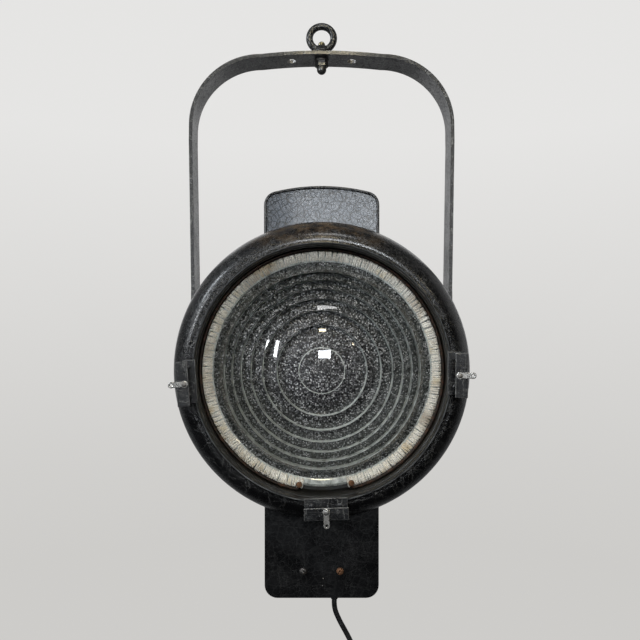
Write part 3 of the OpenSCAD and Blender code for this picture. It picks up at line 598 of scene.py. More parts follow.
def maths_in(tree, operation, a, b=0.0, c=0.0):
    return node(tree, "ShaderNodeMath", {"operation": operation}, i0=a, i1=b, i2=c).outputs[0]


def from_nodes(name, tree, inputs, extra=()):
    """Runs a node tree on an empty mesh and keeps the result as a plain mesh."""
    piece = bpy.data.objects.new(name, bpy.data.meshes.new(name))
    scene.collection.objects.link(piece)
    made = piece.modifiers.new("nodes", "NODES")
    made.node_group = tree
    for item in tree.interface.items_tree:
        if item.in_out == "INPUT" and item.name in inputs:
            made[item.identifier] = inputs[item.name]
    made_plain(piece)
    for other in extra:
        bpy.data.objects.remove(other)
    piece.data.shade_smooth()
    piece.data.set_sharp_from_angle(angle=math.radians(38))
    return piece


in_row = placing_tree("pieces in a row", False)
round_the_axis = placing_tree("pieces round the lens axis", True)

# ---- louvres, box rivets and screws ----
# Five pressed louvres stand out of each side of the base box over its slots. Two slotted screws
# hold the wiring block inside the box front, one of them rusted, with two tiny rivets below.


def shell_of(outline_rings, name, made):
    """A small closed shape from stacked outlines with the same number of points."""
    count = len(outline_rings[0])
    points = [p for ring in outline_rings for p in ring]
    faces = [tuple(range(count)), tuple((len(outline_rings) - 1) * count + k for k in range(count))]
    for r in range(len(outline_rings) - 1):
        faces += [(r * count + k, r * count + (k + 1) % count, (r + 1) * count + (k + 1) % count,
                   (r + 1) * count + k) for k in range(count)]
    return solid(name, points, faces, None, [made])


for side, label in ((-1, "left"), (1, "right")):
    hood = shell_of([[Vector((side * out, y, z)) * MM for y, z in (
        (-4.2 * s, -14 * s), (4.2, -14 * s), (4.2, 14 * s), (-4.2 * s, 14 * s))]
        for out, s in ((0, 1.0), (1.6, 0.92), (2.4, 0.8))], "hood", box_black)
    louvres = from_nodes("louvres_" + label, in_row, {
        "Piece": hood, "Count": 5, "Start": lamp(side * HOUSE_HALF, 15.5, -219), "Step": (0, 0.014, 0),
        "Finish": box_black}, [hood])
    settle(louvres, "head")


def screw_head(name, radius, high, made, slot_turn=0.0, slot=True):
    """A domed head facing -Y with its foot on the origin, slotted across."""
    profile = [(0, -1), (radius * 0.98, -1), (radius, 0), (radius, high * 0.35), (radius * 0.93, high * 0.6),
               (radius * 0.72, high * 0.86), (radius * 0.4, high * 0.98), (0, high)]
    points, faces = turned(profile, 36, lambda x, y, h: Vector((x, -h, y)) * MM)
    head = solid(name, points, faces, None, [made])
    if slot:
        turn = Matrix.Rotation(slot_turn, 4, "Y")
        half, wide, deep = radius * 1.3, radius * 0.14, high * 0.45
        corners = [turn @ (Vector((x, -y, z)) * MM) for y in (deep, high * 2) for x, z in (
            (-half, -wide), (half, -wide), (half, wide), (-half, wide))]
        block = solid("cutter", corners, [(0, 1, 2, 3), (4, 5, 6, 7), (0, 1, 5, 4), (1, 2, 6, 5),
                                          (2, 3, 7, 6), (3, 0, 4, 7)], None, [made])
        cut(head, block, "DIFFERENCE")
    return head


def moved(piece, place):
    """Puts a piece's place into its mesh."""
    piece.data.transform(place if isinstance(place, Matrix) else Matrix.Translation(place))
    return piece


rust = steel("rust", (0.30, 0.16, 0.09, 1), (0.10, 0.045, 0.025, 1), 0.6, 0.8)
old_screw = steel("old_screw", (0.13, 0.125, 0.12, 1), (0.05, 0.035, 0.03, 1), 0.45, 0.7)
screws = [moved(screw_head("front_screw_" + label, 4, 2.1, made, turn), lamp(x, HOUSE_FRONT, -221))
          for label, x, made, turn in (("left", -20, old_screw, 0.5), ("right", 20, rust, -0.9))]
settle(screws[0], "head", ["front_screws"])
settle(screws[1], "head", ["front_screws"])
for label, x, z in (("upper", 1.6, -229), ("lower", 0.9, -237)):
    dot = moved(screw_head("box_rivet_" + label, 1.1, 0.7, old_screw, 0, False), lamp(x, HOUSE_FRONT, z))
    settle(dot, "head")
repaint("back_screws", old_screw)

# ---- front ring ----
# A heavy domed ring, spun and enamelled, that carries the lens and the colour frame runners. Its
# black is rubbed bronze along the top, and bare metal shows on the turned edge of its front lip.
LENS_AXIS = Vector((middle("lens").x, 0, middle("lens").z))
RING_TURN = math.radians(1.8)


def on_axis(x, up, forward):
    """A point by its place across, above and in front of the pivot, along the lens axis, in mm."""
    return Vector((pivot.x + x * MM, pivot.y - forward * MM, pivot.z + up * MM))


def on_ring(angle, out, along, forward):
    """A point of the ring at an angle round it: outwards, along the rim and forwards, in mm."""
    a = RING_TURN + math.radians(angle)
    return on_axis(out * math.cos(a) - along * math.sin(a), out * math.sin(a) + along * math.cos(a), forward)


ring_black = enamel("ring_black", (0.0020, 0.0020, 0.0023, 1), (0.0060, 0.0060, 0.0065, 1), 3.6, rub=0.6,
                    scratches=0.3, shine=0.22)
lip_worn = steel("lip_worn", (0.13, 0.135, 0.135, 1), (0.006, 0.006, 0.007, 1), 0.42, 1.4, 0.35)
wall_brown, tree, shader, where = finish("wall_brown", Roughness=0.5)
grime = between(tree, noise(tree, where, 60, 6, 0.7), 0.35, 0.7)
tone = blend(tree, grime, (0.003, 0.0028, 0.0025, 1), (0.016, 0.014, 0.010, 1))
tree.links.new(tone, shader.inputs["Base Color"])
tree.links.new(between(tree, grime, 0, 1, 0.3, 0.65), shader.inputs["Roughness"])
set_bump(tree, shader, noise(tree, where, 500, 4), 0.0001)

LIP_R, LIP_U, RIM_R, RIM_U, WALL_R = 128.5, 91, 155.8, 40, 127
dome = [(LIP_R + 3 + (RIM_R - LIP_R - 3) * math.sin(a), RIM_U + 2 + (LIP_U - RIM_U - 2) * math.cos(a))
        for a in (math.radians(9 + 77 * k / 30) for k in range(31))]
ring_profile = [(128.0, 90.2, 1), (128.25, 90.9, 1), (128.8, 91.2, 1), (129.4, 91.2, 0), (130.3, 91.0, 0),
                (131.0, 90.75, 0), (132.4, 90.7, 0), (133.8, 90.75, 0)]
ring_profile += [(r, u, 0) for r, u in dome]
ring_profile += [(RIM_R - 0.1, 44.0, 0), (RIM_R, 42.6, 0), (RIM_R - 0.1, 41.2, 0), (RIM_R - 0.5, 40.3, 0),
                 (RIM_R - 1.1, 39.9, 0), (RIM_R - 2.1, 40.0, 0), (RIM_R - 2.8, 40.8, 0)]
ring_profile += [(r - 3, u - 1.8, 0) for r, u in reversed(dome)]
ring_profile += [(130, 84, 0), (130, 45, 0), (131.2, 45, 0), (131.2, 28, 0), (128.3, 28, 0), (128.3, 42, 0),
                 (WALL_R, 42, 0), (WALL_R, 51, 2), (117, 51, 2), (117, 52.8, 2), (126.4, 52.8, 2),
                 (WALL_R, 54, 2), (WALL_R, 70, 2), (WALL_R, 78.6, 1), (127.2, 79.2, 1), (127.7, 79.6, 2),
                 (127.7, 86, 2), (127.75, 89.2, 2)]
RING_STEPS = 240
points, faces = turned([(r, u) for r, u, _ in ring_profile], RING_STEPS,
                       lambda x, y, h: on_axis(x, y, h))
ring = solid("front_ring", points, faces, None, [ring_black, lip_worn, wall_brown], (), 40,
             [which for _ in range(RING_STEPS) for _, _, which in ring_profile])


def block(name, corners, made, place):
    """A six-sided solid from its low and high corners."""
    (x0, y0, z0), (x1, y1, z1) = corners
    points = [place(x, y, z) for x in (x0, x1) for y in (y0, y1) for z in (z0, z1)]
    return solid(name, points, [(0, 1, 3, 2), (4, 5, 7, 6), (0, 1, 5, 4), (2, 3, 7, 6), (0, 2, 6, 4),
                                (1, 3, 7, 5)], None, made)


settle(ring, "head", ["front_ring"])
RUNNER_LEN, RUNNER_R, RUNNER_U, SHEET = 43, 139.5, 120, 1.6
RUNNERS = (("left", 182.2), ("right", -2.2), ("bottom", 270))
for label, at in RUNNERS:
    pad_low, pad_high = (129.2, -RUNNER_LEN / 2, 80), (RUNNER_R - 0.2, RUNNER_LEN / 2, LIP_U - 0.1)
    pad = block("ring_pad_" + label, (pad_low, pad_high), [ring_black, lip_worn],
                lambda r, t, u, at=at: on_ring(at, r, t, u))
    ease(pad, 0.7, 2, 0)
    settle(pad, "head")
ring_screw = screw_head("ring_screw", 4, 2.4, old_screw, 0.4)
ring_screw.data.transform(Matrix.Rotation(math.radians(-90), 4, "Z"))
ring_screws = from_nodes("ring_screws", round_the_axis, {
    "Piece": ring_screw, "Count": 4, "Start": on_axis(0, 0, 34), "Radius": 0.1332,
    "First Angle": math.radians(45), "Angle Step": math.radians(90), "Finish": old_screw}, [ring_screw])
settle(ring_screws, "head", ["ring_screws"])

# ---- lens ----
# One pressed disc of heat-resisting glass: a bull's-eye and six stepped rings in front, and a
# back that is stippled all over so that the beam has a soft edge. Seen from in front it is dark.
# The lens's colour is painted light and shade: the dark inside of the lamp, reflections in the stipple, and
# glints.
lens_glass, tree, shader, where = finish(
    "lens_glass", IOR=1.5, Coat_Weight=0.9, Coat_Roughness=0.035, Coat_IOR=1.5, Specular_IOR_Level=0.35)
centred = node(tree, "ShaderNodeMapping", None, Vector=where, Location=-LENS_AXIS).outputs[0]
flat = node(tree, "ShaderNodeVectorMath", {"operation": "MULTIPLY"}, i0=centred, i1=(1, 0, 1)).outputs[0]
away = node(tree, "ShaderNodeVectorMath", {"operation": "LENGTH"}, i0=flat).outputs["Value"]
stipple = node(tree, "ShaderNodeTexVoronoi", None, Vector=flat, Scale=640.0)
pebble = stipple.outputs["Distance"]
lot = node(tree, "ShaderNodeSeparateXYZ", None, i0=stipple.outputs["Color"]).outputs
# Painted highlights: near-white glints on some of the stipple cells.
glint = maths(tree, "MULTIPLY", between(tree, lot[0], 0.40, 0.85), between(tree, pebble, 0.62, 0.25))
glint = maths(tree, "MULTIPLY", glint, between(tree, noise(tree, flat, 75, 3, 0.6), 0.35, 0.62, 0.35, 1.0))
# Painted shade and reflection: each cell lies between a dark tone, the shaded inside seen through the glass,
# and a pale tone, the room reflected in its facets.
shade = maths(tree, "MULTIPLY", between(tree, lot[1], 0.2, 0.8), between(tree, pebble, 0.75, 0.15, 0.15, 1))
# Painted shade: the middle of the lens is darker, and the outer rings are lighter.
outer = between(tree, away, 0.03, 0.115)
deep = blend(tree, outer, (0.005, 0.005, 0.006, 1), (0.014, 0.016, 0.015, 1))
pale = blend(tree, outer, (0.11, 0.11, 0.117, 1), (0.15, 0.162, 0.153, 1))
tone = blend(tree, shade, deep, pale)
tone = blend(tree, maths(tree, "MULTIPLY", glint, between(tree, outer, 0, 1, 0.85, 0.55)), tone,
             (0.85, 0.86, 0.87, 1))
tree.links.new(tone, shader.inputs["Base Color"])
tree.links.new(between(tree, lot[2], 0, 1, 0.16, 0.5), shader.inputs["Roughness"])
set_bump(tree, shader, pebble, 0.0005)
# Painted highlight: the risers of the steps and the lens's flange are given a pale, streaky colour for the
# light they catch.
riser_painted_light, tree, shader, where = finish("riser_painted_light", Coat_Weight=0.8, Coat_Roughness=0.08, IOR=1.5)
painted_light_streak = noise(tree, where, 130, 5, 0.7)
tone = blend(tree, between(tree, painted_light_streak, 0.33, 0.62), (0.16, 0.172, 0.16, 1), (0.60, 0.63, 0.60, 1))
tree.links.new(tone, shader.inputs["Base Color"])
tree.links.new(between(tree, painted_light_streak, 0.3, 0.7, 0.2, 0.5), shader.inputs["Roughness"])
set_bump(tree, shader, noise(tree, where, 900, 3), 0.0001)

BULL_R, ZONE_STEP, CURVE_R, STEP_U, BACK_U, LENS_R = 46.3, 1607, 130, 61, 56.5, 121


def zone_r(n):
    return math.sqrt(BULL_R ** 2 + ZONE_STEP * (n - 1)) if n > 0 else 0


def zone_u(n, r):
    return STEP_U + math.sqrt(CURVE_R ** 2 - r * r) - math.sqrt(CURVE_R ** 2 - zone_r(n) ** 2)


lens_profile = [(0, BACK_U, 0), (0, zone_u(1, 0), 0)]
FAINT_R = 23.6
for n in range(1, 8):
    low, high = zone_r(n - 1), zone_r(n)
    steps = 24 if n == 1 else 8
    start = low + (0.75 if n > 1 else 0)
    for i in range(1 if n == 1 else 0, steps + 1):
        r = start + (high - 0.3 - start) * i / steps
        lens_profile.append((r, zone_u(n, r), 0))
        if n == 1 and r < FAINT_R < r + (high - 0.3 - start) / steps:
            top = zone_u(1, FAINT_R)
            lens_profile += [(FAINT_R - 0.45, top, 1), (FAINT_R - 0.15, top - 0.2, 1),
                             (FAINT_R + 0.15, top - 0.2, 1), (FAINT_R + 0.45, top - 0.02, 0)]
    if n < 7:
        lens_profile[-1] = lens_profile[-1][:2] + (1,)
        lens_profile.append((high, STEP_U - 0.05, 1))
lens_profile += [(111.4, 61, 0), (112.5, 61.4, 1), (114, 62.2, 1), (118.4, 62.6, 1), (LENS_R, 60.6, 0),
                 (LENS_R, 57.3, 0), (LENS_R - 0.8, BACK_U, 0)]
LENS_STEPS = 240
points, faces = turned([(r, u) for r, u, _ in lens_profile], LENS_STEPS, lambda x, y, h: on_axis(x, y, h))
solid("stepped_lens", points, faces, "head", [lens_glass, riser_painted_light], ["lens"], 14,
      [which for _ in range(LENS_STEPS) for _, _, which in lens_profile])

# ---- lens cord ----
# White heat-proof cord is wound closely over the lens's rim, about 290 turns, so that the glass
# sits softly in its seat. It stops at the ends of the wire. Heat and grease have stained it tan.
winding_tree = bpy.data.node_groups.new("cord turns round a rim", "GeometryNodeTree")
face = winding_tree.interface
face.new_socket("Geometry", in_out="OUTPUT", socket_type="NodeSocketGeometry")
for label, kind in (("Rim Radius", "Float"), ("Turns", "Int"), ("Turn Width", "Float"),
                    ("Turn Depth", "Float"), ("Corner", "Float"), ("Cord Radius", "Float"),
                    ("Unevenness", "Float"), ("Start Angle", "Float"), ("Sweep Angle", "Float"),
                    ("Finish", "Material")):
    face.new_socket(label, in_out="INPUT", socket_type="NodeSocket" + kind)
given = node(winding_tree, "NodeGroupInput").outputs
rim = node(winding_tree, "GeometryNodeCurveArc", {"mode": "RADIUS"}, Resolution=360,
           Radius=given["Rim Radius"], Start_Angle=given["Start Angle"], Sweep_Angle=given["Sweep Angle"])
spots = node(winding_tree, "GeometryNodeCurveToPoints", {"mode": "COUNT"}, Curve=rim.outputs[0],
             Count=given["Turns"])
turn = node(winding_tree, "GeometryNodeCurvePrimitiveQuadrilateral", {"mode": "RECTANGLE"},
            Width=given["Turn Width"], Height=given["Turn Depth"])
turn = node(winding_tree, "GeometryNodeFilletCurve", {"mode": "POLY"}, Curve=turn.outputs[0],
            Count=3, Radius=given["Corner"])
strand = node(winding_tree, "GeometryNodeCurvePrimitiveCircle", {"mode": "RADIUS"}, Resolution=6,
              Radius=given["Cord Radius"])
strand = node(winding_tree, "GeometryNodeCurveToMesh", None, Curve=turn.outputs[0],
              Profile_Curve=strand.outputs[0])
loops = node(winding_tree, "GeometryNodeInstanceOnPoints", None, Points=spots.outputs["Points"],
             Instance=strand.outputs[0], Rotation=spots.outputs["Rotation"])
low = node(winding_tree, "ShaderNodeVectorMath", {"operation": "SCALE"}, i0=(-1.0, -1.0, -1.0),
           Scale=given["Unevenness"]).outputs[0]
high = node(winding_tree, "ShaderNodeVectorMath", {"operation": "SCALE"}, i0=(1.0, 1.0, 1.0),
            Scale=given["Unevenness"]).outputs[0]
skew = node(winding_tree, "FunctionNodeRandomValue", {"data_type": "FLOAT_VECTOR"}, i0=low, i1=high,
            Seed=7)
loops = node(winding_tree, "GeometryNodeRotateInstances", None, Instances=loops.outputs[0],
             Rotation=skew.outputs[0])
grow = node(winding_tree, "FunctionNodeRandomValue", {"data_type": "FLOAT"}, i2=0.93, i3=1.035, Seed=21)
loops = node(winding_tree, "GeometryNodeScaleInstances", None, Instances=loops.outputs[0],
             Scale=grow.outputs[1])
real = node(winding_tree, "GeometryNodeRealizeInstances", None, i0=loops.outputs[0])
made = node(winding_tree, "GeometryNodeSetMaterial", None, Geometry=real.outputs[0],
            Material=given["Finish"])
node(winding_tree, "NodeGroupOutput", None, i0=made.outputs[0])

cord_white, tree, shader, where = finish("cord_white", Roughness=0.88, Sheen_Weight=0.25)
stain = between(tree, noise(tree, where, 24, 5, 0.65), 0.5, 0.68)
yellow = between(tree, noise(tree, where, 45, 4, 0.6), 0.52, 0.66)
dirt = between(tree, noise(tree, where, 260, 5, 0.75), 0.56, 0.74)
fibre = noise(tree, where, 1150, 4, 0.75)
tone = blend(tree, between(tree, fibre, 0.38, 0.55), (0.42, 0.39, 0.32, 1), (1.0, 0.97, 0.88, 1))
tone = blend(tree, maths(tree, "MULTIPLY", yellow, 0.55), tone, (0.60, 0.45, 0.20, 1))
tone = blend(tree, maths(tree, "MULTIPLY", stain, 0.65), tone, (0.30, 0.22, 0.135, 1))
tone = blend(tree, maths(tree, "MULTIPLY", dirt, 0.55), tone, (0.06, 0.05, 0.04, 1))
tree.links.new(tone, shader.inputs["Base Color"])
set_bump(tree, shader, fibre, 0.0006)
CORD_GAP = 11.5
winding = from_nodes("lens_winding", winding_tree, {
    "Rim Radius": 0.1192, "Turns": 290, "Turn Width": 0.0099, "Turn Depth": 0.0095, "Corner": 0.0034,
    "Cord Radius": 0.00128, "Unevenness": 0.13, "Start Angle": RING_TURN + math.radians(CORD_GAP - 90),
    "Sweep Angle": math.radians(360 - 2 * CORD_GAP), "Finish": cord_white})
moved(winding, Matrix.Translation(on_axis(0, 0, 59.0)) @ Matrix.Rotation(math.radians(90), 4, "X"))
settle(winding, "head", ["lens_cord"])

# ---- retaining wire ----
# A split ring of spring wire, brown with rust, holds the lens and its cord back in the seat. Its
# two ends are bent inwards and forwards at the bottom, to be squeezed together when it comes out.
WIRE_R, WIRE_U, WIRE_GAP = 125, 67.1, 13.0
wire_path = [on_ring(-90 - WIRE_GAP, 119, 0, WIRE_U + 5), on_ring(-90 - WIRE_GAP, 119, 0, WIRE_U + 1.2),
             on_ring(-90 - WIRE_GAP, 120, 0, WIRE_U + 0.2), on_ring(-90 - WIRE_GAP, 123.8, 0, WIRE_U)]
steps = 150
wire_path += [on_ring(-90 - WIRE_GAP - 1.2 - (357.6 - 2 * WIRE_GAP) * k / steps, WIRE_R, 0, WIRE_U)
              for k in range(steps + 1)]
wire_path += [on_ring(-90 + WIRE_GAP, 123.8, 0, WIRE_U), on_ring(-90 + WIRE_GAP, 120, 0, WIRE_U + 0.2),
              on_ring(-90 + WIRE_GAP, 119, 0, WIRE_U + 1.2), on_ring(-90 + WIRE_GAP, 119, 0, WIRE_U + 5)]
wire_brown = steel("wire_brown", (0.028, 0.022, 0.018, 1), (0.12, 0.06, 0.035, 1), 0.55, 0.45)
wire = beading("retaining_ring", wire_path, 1.75, None, wire_brown, False, 14)
settle(wire, "head", ["retaining_wire"])
end_rust = steel("end_rust", (0.26, 0.14, 0.08, 1), (0.09, 0.04, 0.02, 1), 0.65, 0.9, 2)
for side, label in ((-1, "left"), (1, "right")):
    end = screw_head("wire_end_" + label, 3.1, 1.5, end_rust, 0, False)
    moved(end, on_ring(-90 + side * WIRE_GAP, 119, 0, WIRE_U + 4.2))
    settle(end, "head")

# ---- colour frame runners and their catches ----
# Three folded steel channels are riveted to the ring to take a square colour frame from the front.
# Each has a flat finger catch on a rivet. The paint is worn off every edge and corner.
runner_grey = enamel("runner_grey", (0.004, 0.0043, 0.005, 1), (0.014, 0.015, 0.017, 1), 5, scratches=0.5,
                     shine=0.3)
runner_edge = steel("runner_edge", (0.34, 0.34, 0.33, 1), (0.012, 0.012, 0.013, 1), 0.36, 1.15, 0.5)
channel = [(125, 91), (RUNNER_R, 91), (RUNNER_R, RUNNER_U), (127.5, RUNNER_U), (127.5, RUNNER_U - SHEET),
           (RUNNER_R - SHEET, RUNNER_U - SHEET), (RUNNER_R - SHEET, 91 + SHEET), (125, 91 + SHEET)]
for label, at in RUNNERS:
    half = RUNNER_LEN / 2
    points = [on_ring(at, r, t, u) for t in (-half, half) for r, u in channel]
    faces = [tuple(range(8)), tuple(range(8, 16))]
    faces += [(k, (k + 1) % 8, 8 + (k + 1) % 8, 8 + k) for k in range(8)]
    runner = solid("runner_" + label, points, faces, None, [runner_grey, runner_edge])
    ease(runner, 0.55, 3, 1)
    settle(runner, "head", ["runner_" + label])

catch_steel = steel("catch_steel", (0.80, 0.79, 0.76, 1), (0.20, 0.18, 0.15, 1), 0.26, 0.4)
CATCH_IN, CATCH_OUT, CATCH_U = 131.5, 144.1, RUNNER_U + 0.1
for label, at in RUNNERS:
    outline = [(CATCH_IN + 3.5 * math.cos(a), 3.5 * math.sin(a))
               for a in (math.radians(50 + 260 * k / 14) for k in range(15))]
    outline += [(136.5, -2.8), (140.5, -2.8)]
    outline += [(CATCH_OUT + 3.1 * math.cos(a), 3.1 * math.sin(a))
                for a in (math.radians(-115 + 230 * k / 14) for k in range(15))]
    outline += [(140.5, 2.8), (136.5, 2.8)]
    count = len(outline)
    points = [on_ring(at, r, t, u) for u in (CATCH_U, CATCH_U + 1.8) for r, t in outline]
    faces = [tuple(range(count)), tuple(range(count, 2 * count))]
    faces += [(k, (k + 1) % count, count + (k + 1) % count, count + k) for k in range(count)]
    catch = solid("catch_" + label, points, faces, None, [catch_steel])
    for r, radius in ((CATCH_IN, 1.55), (143.9, 1.25)):
        hole, hole_faces = turned([(0, -4), (radius, -4), (radius, 4), (0, 4)], 24,
                                  lambda x, y, h, r=r: on_ring(at, r + x, y, CATCH_U + h), False)
        cut(catch, solid("cutter", hole, hole_faces, None, [catch_steel]), "DIFFERENCE")
    ease(catch, 0.5, 3, 0)
    settle(catch, label + "_catch", ["catch_" + label])

rivet_steel = steel("rivet_steel", (0.30, 0.295, 0.28, 1), (0.08, 0.06, 0.045, 1), 0.4, 0.6)


def rivets(name, radius, high, out, along, forward, made, stands_for):
    """Rivet heads that face forwards, at the same places on each of the three runners."""
    parts = []
    for _, at in RUNNERS:
        for t in along:
            head = screw_head("rivet", radius, high, made, 0, False)
            parts.append(moved(head, on_ring(at, out, t, forward)))
    joined = bmesh.new()
    for part in parts:
        joined.from_mesh(part.data)
        bpy.data.objects.remove(part)
    mesh = bpy.data.meshes.new(name)
    joined.to_mesh(mesh)
    joined.free()
    mesh.materials.append(made)
    mesh.shade_smooth()
    piece = bpy.data.objects.new(name, mesh)
    scene.collection.objects.link(piece)
    settle(piece, "head", stands_for)


rivets("runner_rivet_heads", 3, 1.2, 133, (-14, 14), 91 + SHEET, runner_grey, ["runner_rivets"])
rivets("catch_rivet_heads", 2.5, 1.0, CATCH_IN, (0,), RUNNER_U + 2.0, rivet_steel, ["catch_rivets"])

# ---- pivots ----
# A hexagon-headed bolt on each side holds the drum's boss to the yoke foot, with a brown fibre
# washer that lets the head tilt stiffly and a steel washer under the bolt head.
repaint("pivot_bosses", drum_black)
fibre_brown, tree, shader, where = finish("fibre_brown", Roughness=0.7)
tone = blend(tree, noise(tree, where, 400, 4), (0.10, 0.045, 0.02, 1), (0.26, 0.13, 0.06, 1))
tree.links.new(tone, shader.inputs["Base Color"])
set_bump(tree, shader, noise(tree, where, 900, 3), 0.0001)
repaint("fibre_washers", fibre_brown)
for name in ("pivot_washers", "pivot_bolts", "pivot_nuts"):
    repaint(name, nut_steel if name == "pivot_bolts" else dull_steel)

# ---- focus drive and lamp carriage ----
# A moulded knob turns the lead screw, which draws the carriage along two guide rods. The carriage
# holds the ceramic socket, the round clear bulb and the polished spherical reflector behind it.
bright_steel = steel("bright_steel", (0.5, 0.5, 0.49, 1), (0.2, 0.19, 0.17, 1), 0.25, 0.2)
zinc_grey = steel("zinc_grey", (0.30, 0.305, 0.31, 1), (0.16, 0.155, 0.15, 1), 0.45, 0.4, 0.4)
dull_brass = steel("dull_brass", (0.45, 0.34, 0.15, 1), (0.18, 0.11, 0.05, 1), 0.33, 0.4)
for name in ("guide_rods", "lead_screw"):
    repaint(name, bright_steel)
for name in ("carriage", "socket_post", "reflector_post"):
    repaint(name, zinc_grey)
for name in ("screw_bush", "lamp_cap", "earth_screw"):
    repaint(name, dull_brass)
knob_black, tree, shader, where = finish("knob_black", Coat_Weight=0.4, Coat_Roughness=0.15)
swirl = noise(tree, where, 55, 5, 0.6)
tone = blend(tree, swirl, (0.008, 0.007, 0.006, 1), (0.026, 0.019, 0.014, 1))
tree.links.new(tone, shader.inputs["Base Color"])
tree.links.new(between(tree, noise(tree, where, 600, 3), 0.3, 0.7, 0.18, 0.42), shader.inputs["Roughness"])
set_bump(tree, shader, noise(tree, where, 800, 2), 0.00003)
repaint("focus_knob", knob_black)

glazed, tree, shader, where = finish("glazed_ceramic", Coat_Weight=0.6, Coat_Roughness=0.1)
stain = between(tree, noise(tree, where, 120, 5), 0.4, 0.75)
tone = blend(tree, stain, (0.78, 0.76, 0.69, 1), (0.42, 0.36, 0.26, 1))
tree.links.new(tone, shader.inputs["Base Color"])
tree.links.new(between(tree, noise(tree, where, 300, 3), 0.3, 0.7, 0.2, 0.45), shader.inputs["Roughness"])
for name in ("lamp_socket", "terminal_block"):
    repaint(name, glazed)
bulb_clear, tree, shader, where = finish(
    "bulb_clear", Transmission_Weight=1.0, IOR=1.46, Base_Color=(0.95, 0.97, 0.97, 1))
haze = between(tree, noise(tree, where, 60, 4), 0.45, 0.75, 0.01, 0.12)
tree.links.new(haze, shader.inputs["Roughness"])
repaint("lamp_bulb", bulb_clear)
tungsten = steel("tungsten", (0.45, 0.43, 0.4, 1), (0.15, 0.14, 0.13, 1), 0.35, 0.3, 2)
repaint("lamp_filament", tungsten)
mirror, tree, shader, where = finish("reflector_polish", Metallic=1.0)
haze = noise(tree, where, 90, 5)
tone = blend(tree, between(tree, haze, 0.4, 0.75), (0.86, 0.87, 0.88, 1), (0.62, 0.6, 0.56, 1))
tree.links.new(tone, shader.inputs["Base Color"])
tree.links.new(between(tree, haze, 0.3, 0.75, 0.04, 0.22), shader.inputs["Roughness"])
repaint("reflector", mirror)

# ---- rear door ----
# A flat steel door closes the back of the drum for relamping. It hangs on a pinned hinge, a
# pressed bead stiffens it, and a folded spring strip grips its free edge.
for name in ("rear_door", "door_hinge"):
    repaint(name, drum_black)
repaint("door_pull", knob_black)
for name in ("hinge_pin", "door_spring"):
    repaint(name, bright_steel)
BEAD_LEFT, BEAD_RIGHT, BEAD_Z, BEAD_CORNER, DOOR_FACE = -44, 28, 80, 14, 101.7
bead = rounded([(BEAD_LEFT, -BEAD_Z), (BEAD_RIGHT, -BEAD_Z), (BEAD_RIGHT, BEAD_Z), (BEAD_LEFT, BEAD_Z)],
               BEAD_CORNER, 10)
beading("door_bead", [lamp(x, DOOR_FACE, z) for x, z in bead], 1.6, "door",
        drum_black, True)

# ---- cable fittings ----
# The nut of the cable's gland and the pins of its plug are bare metal.
repaint("gland_nut", dull_steel)
repaint("plug_pins", bright_steel)

# ---- backdrop and lights ----
# A pale round backdrop and floor stand well away from the lamp on every side. Window light comes
# from the left and the front. A ceiling light, two small warm lamps in front, and weak glows from
# behind and from the right fill it in.
drop_profile = [(0, -1.15), (1.2, -1.15), (1.7, -1.1), (2.1, -0.9), (2.35, -0.5), (2.45, 0), (2.45, 2.5)]
count, rows = 96, len(drop_profile)
points, faces = [], []
for k in range(count):
    a = 2 * math.pi * k / count
    points += [(r * math.cos(a), r * math.sin(a), z) for r, z in drop_profile]
for k in range(count):
    for j in range(rows - 1):
        m = (k + 1) % count
        faces.append((k * rows + j, m * rows + j, m * rows + j + 1, k * rows + j + 1))
drop_mesh = bpy.data.meshes.new("backdrop")
drop_mesh.from_pydata(points, [], faces)
drop_mesh.shade_smooth()
backdrop = bpy.data.objects.new("backdrop", drop_mesh)
scene.collection.objects.link(backdrop)
pale_wall, tree, shader, where = finish("pale_wall", Roughness=0.9)
height = node(tree, "ShaderNodeSeparateXYZ", None, i0=where).outputs[2]
# The backdrop glows with its own colour, and it is painted darker near the floor as shade. Heights are in
# metres from the middle of the eye.
WALL_DARK_Z, WALL_PALE_Z = -1.1, 0.5
shade = between(tree, height, WALL_DARK_Z, WALL_PALE_Z)
tone = blend(tree, shade, (0.60, 0.592, 0.575, 1), (0.78, 0.775, 0.765, 1))
tree.links.new(blend(tree, 0.96, tone, (0, 0, 0, 1)), shader.inputs["Base Color"])
tree.links.new(tone, shader.inputs["Emission Color"])
shader.inputs["Specular IOR Level"].default_value = 0.0
shader.inputs["Emission Strength"].default_value = 1.0
drop_mesh.materials.append(pale_wall)
backdrop.visible_diffuse = backdrop.visible_glossy = backdrop.visible_transmission = False
backdrop.visible_shadow = False

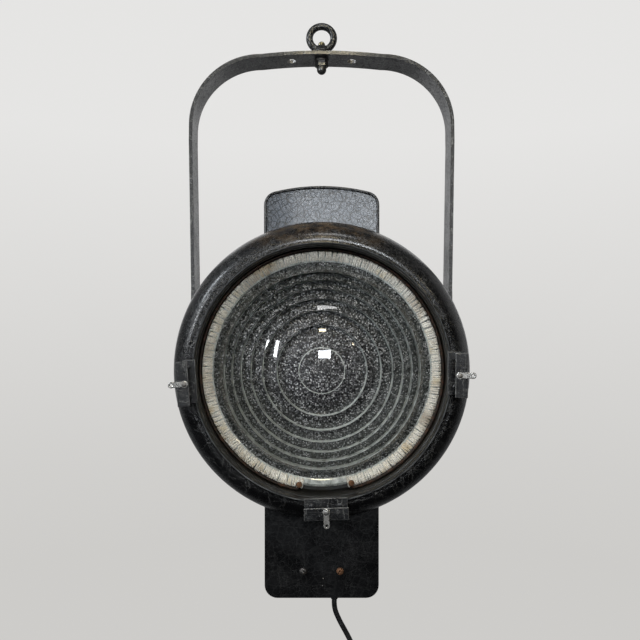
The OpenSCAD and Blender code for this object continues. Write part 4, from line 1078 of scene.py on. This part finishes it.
world = bpy.data.worlds.new("soft_room")
scene.world = world
world.use_nodes = True
tree = world.node_tree
sight = node(tree, "ShaderNodeTexCoord").outputs["Generated"]
parts = node(tree, "ShaderNodeSeparateXYZ", None, i0=sight).outputs
glow = maths(tree, "ADD", maths(tree, "MULTIPLY", parts[1], 0.85), maths(tree, "MULTIPLY", parts[2], 0.12))
glow = between(tree, glow, 0.15, 0.95)
room = blend(tree, glow, (0.012, 0.0125, 0.014, 1), (0.30, 0.305, 0.31, 1))
tree.links.new(room, tree.nodes["Background"].inputs["Color"])
tree.nodes["Background"].inputs["Strength"].default_value = 0.9


def window(name, aim, azimuth, elevation, far, wide, tall, watts, colour=(1, 1, 1)):
    """A soft rectangular light that faces a point, from an azimuth (0 is in front, + to the right)."""
    light = bpy.data.lights.new(name, "AREA")
    light.shape, light.size, light.size_y, light.energy, light.color = "RECTANGLE", wide, tall, watts, colour
    a, e = math.radians(azimuth), math.radians(elevation)
    out = Vector((math.sin(a) * math.cos(e), -math.cos(a) * math.cos(e), math.sin(e)))
    made = bpy.data.objects.new(name, light)
    made.location = aim + out * far
    made.rotation_euler = out.to_track_quat("Z", "Y").to_euler()
    scene.collection.objects.link(made)


lens_face = on_axis(0, 0, 70)
window("left_window_a", lens_face, -49, 16, 1.7, 0.11, 0.46, 7, (0.93, 0.96, 1))
window("left_window_b", lens_face, -60, 15, 1.7, 0.07, 0.46, 4.5, (0.93, 0.96, 1))
window("left_glow", lens_face, -74, 34, 2.0, 0.4, 0.6, 15, (0.88, 0.94, 1))
window("front_window", lens_face, 3, 12.5, 2.0, 0.44, 0.28, 15, (0.92, 0.96, 1))
window("ceiling", lens_face, 10, 66, 2.0, 0.6, 0.4, 9)
window("back_glow", lens_face, 180, 12, 2.2, 2.4, 1.8, 9)
window("right_glow", lens_face, 112, 10, 2.2, 2.0, 1.8, 3)
window("warm_lamp_a", lens_face, 1, 38, 1.9, 0.22, 0.12, 4.5, (1, 0.88, 0.6))
window("warm_lamp_b", lens_face, 36, 22, 1.9, 0.13, 0.10, 1.6, (1, 0.86, 0.6))
scene.view_settings.view_transform = "Standard"
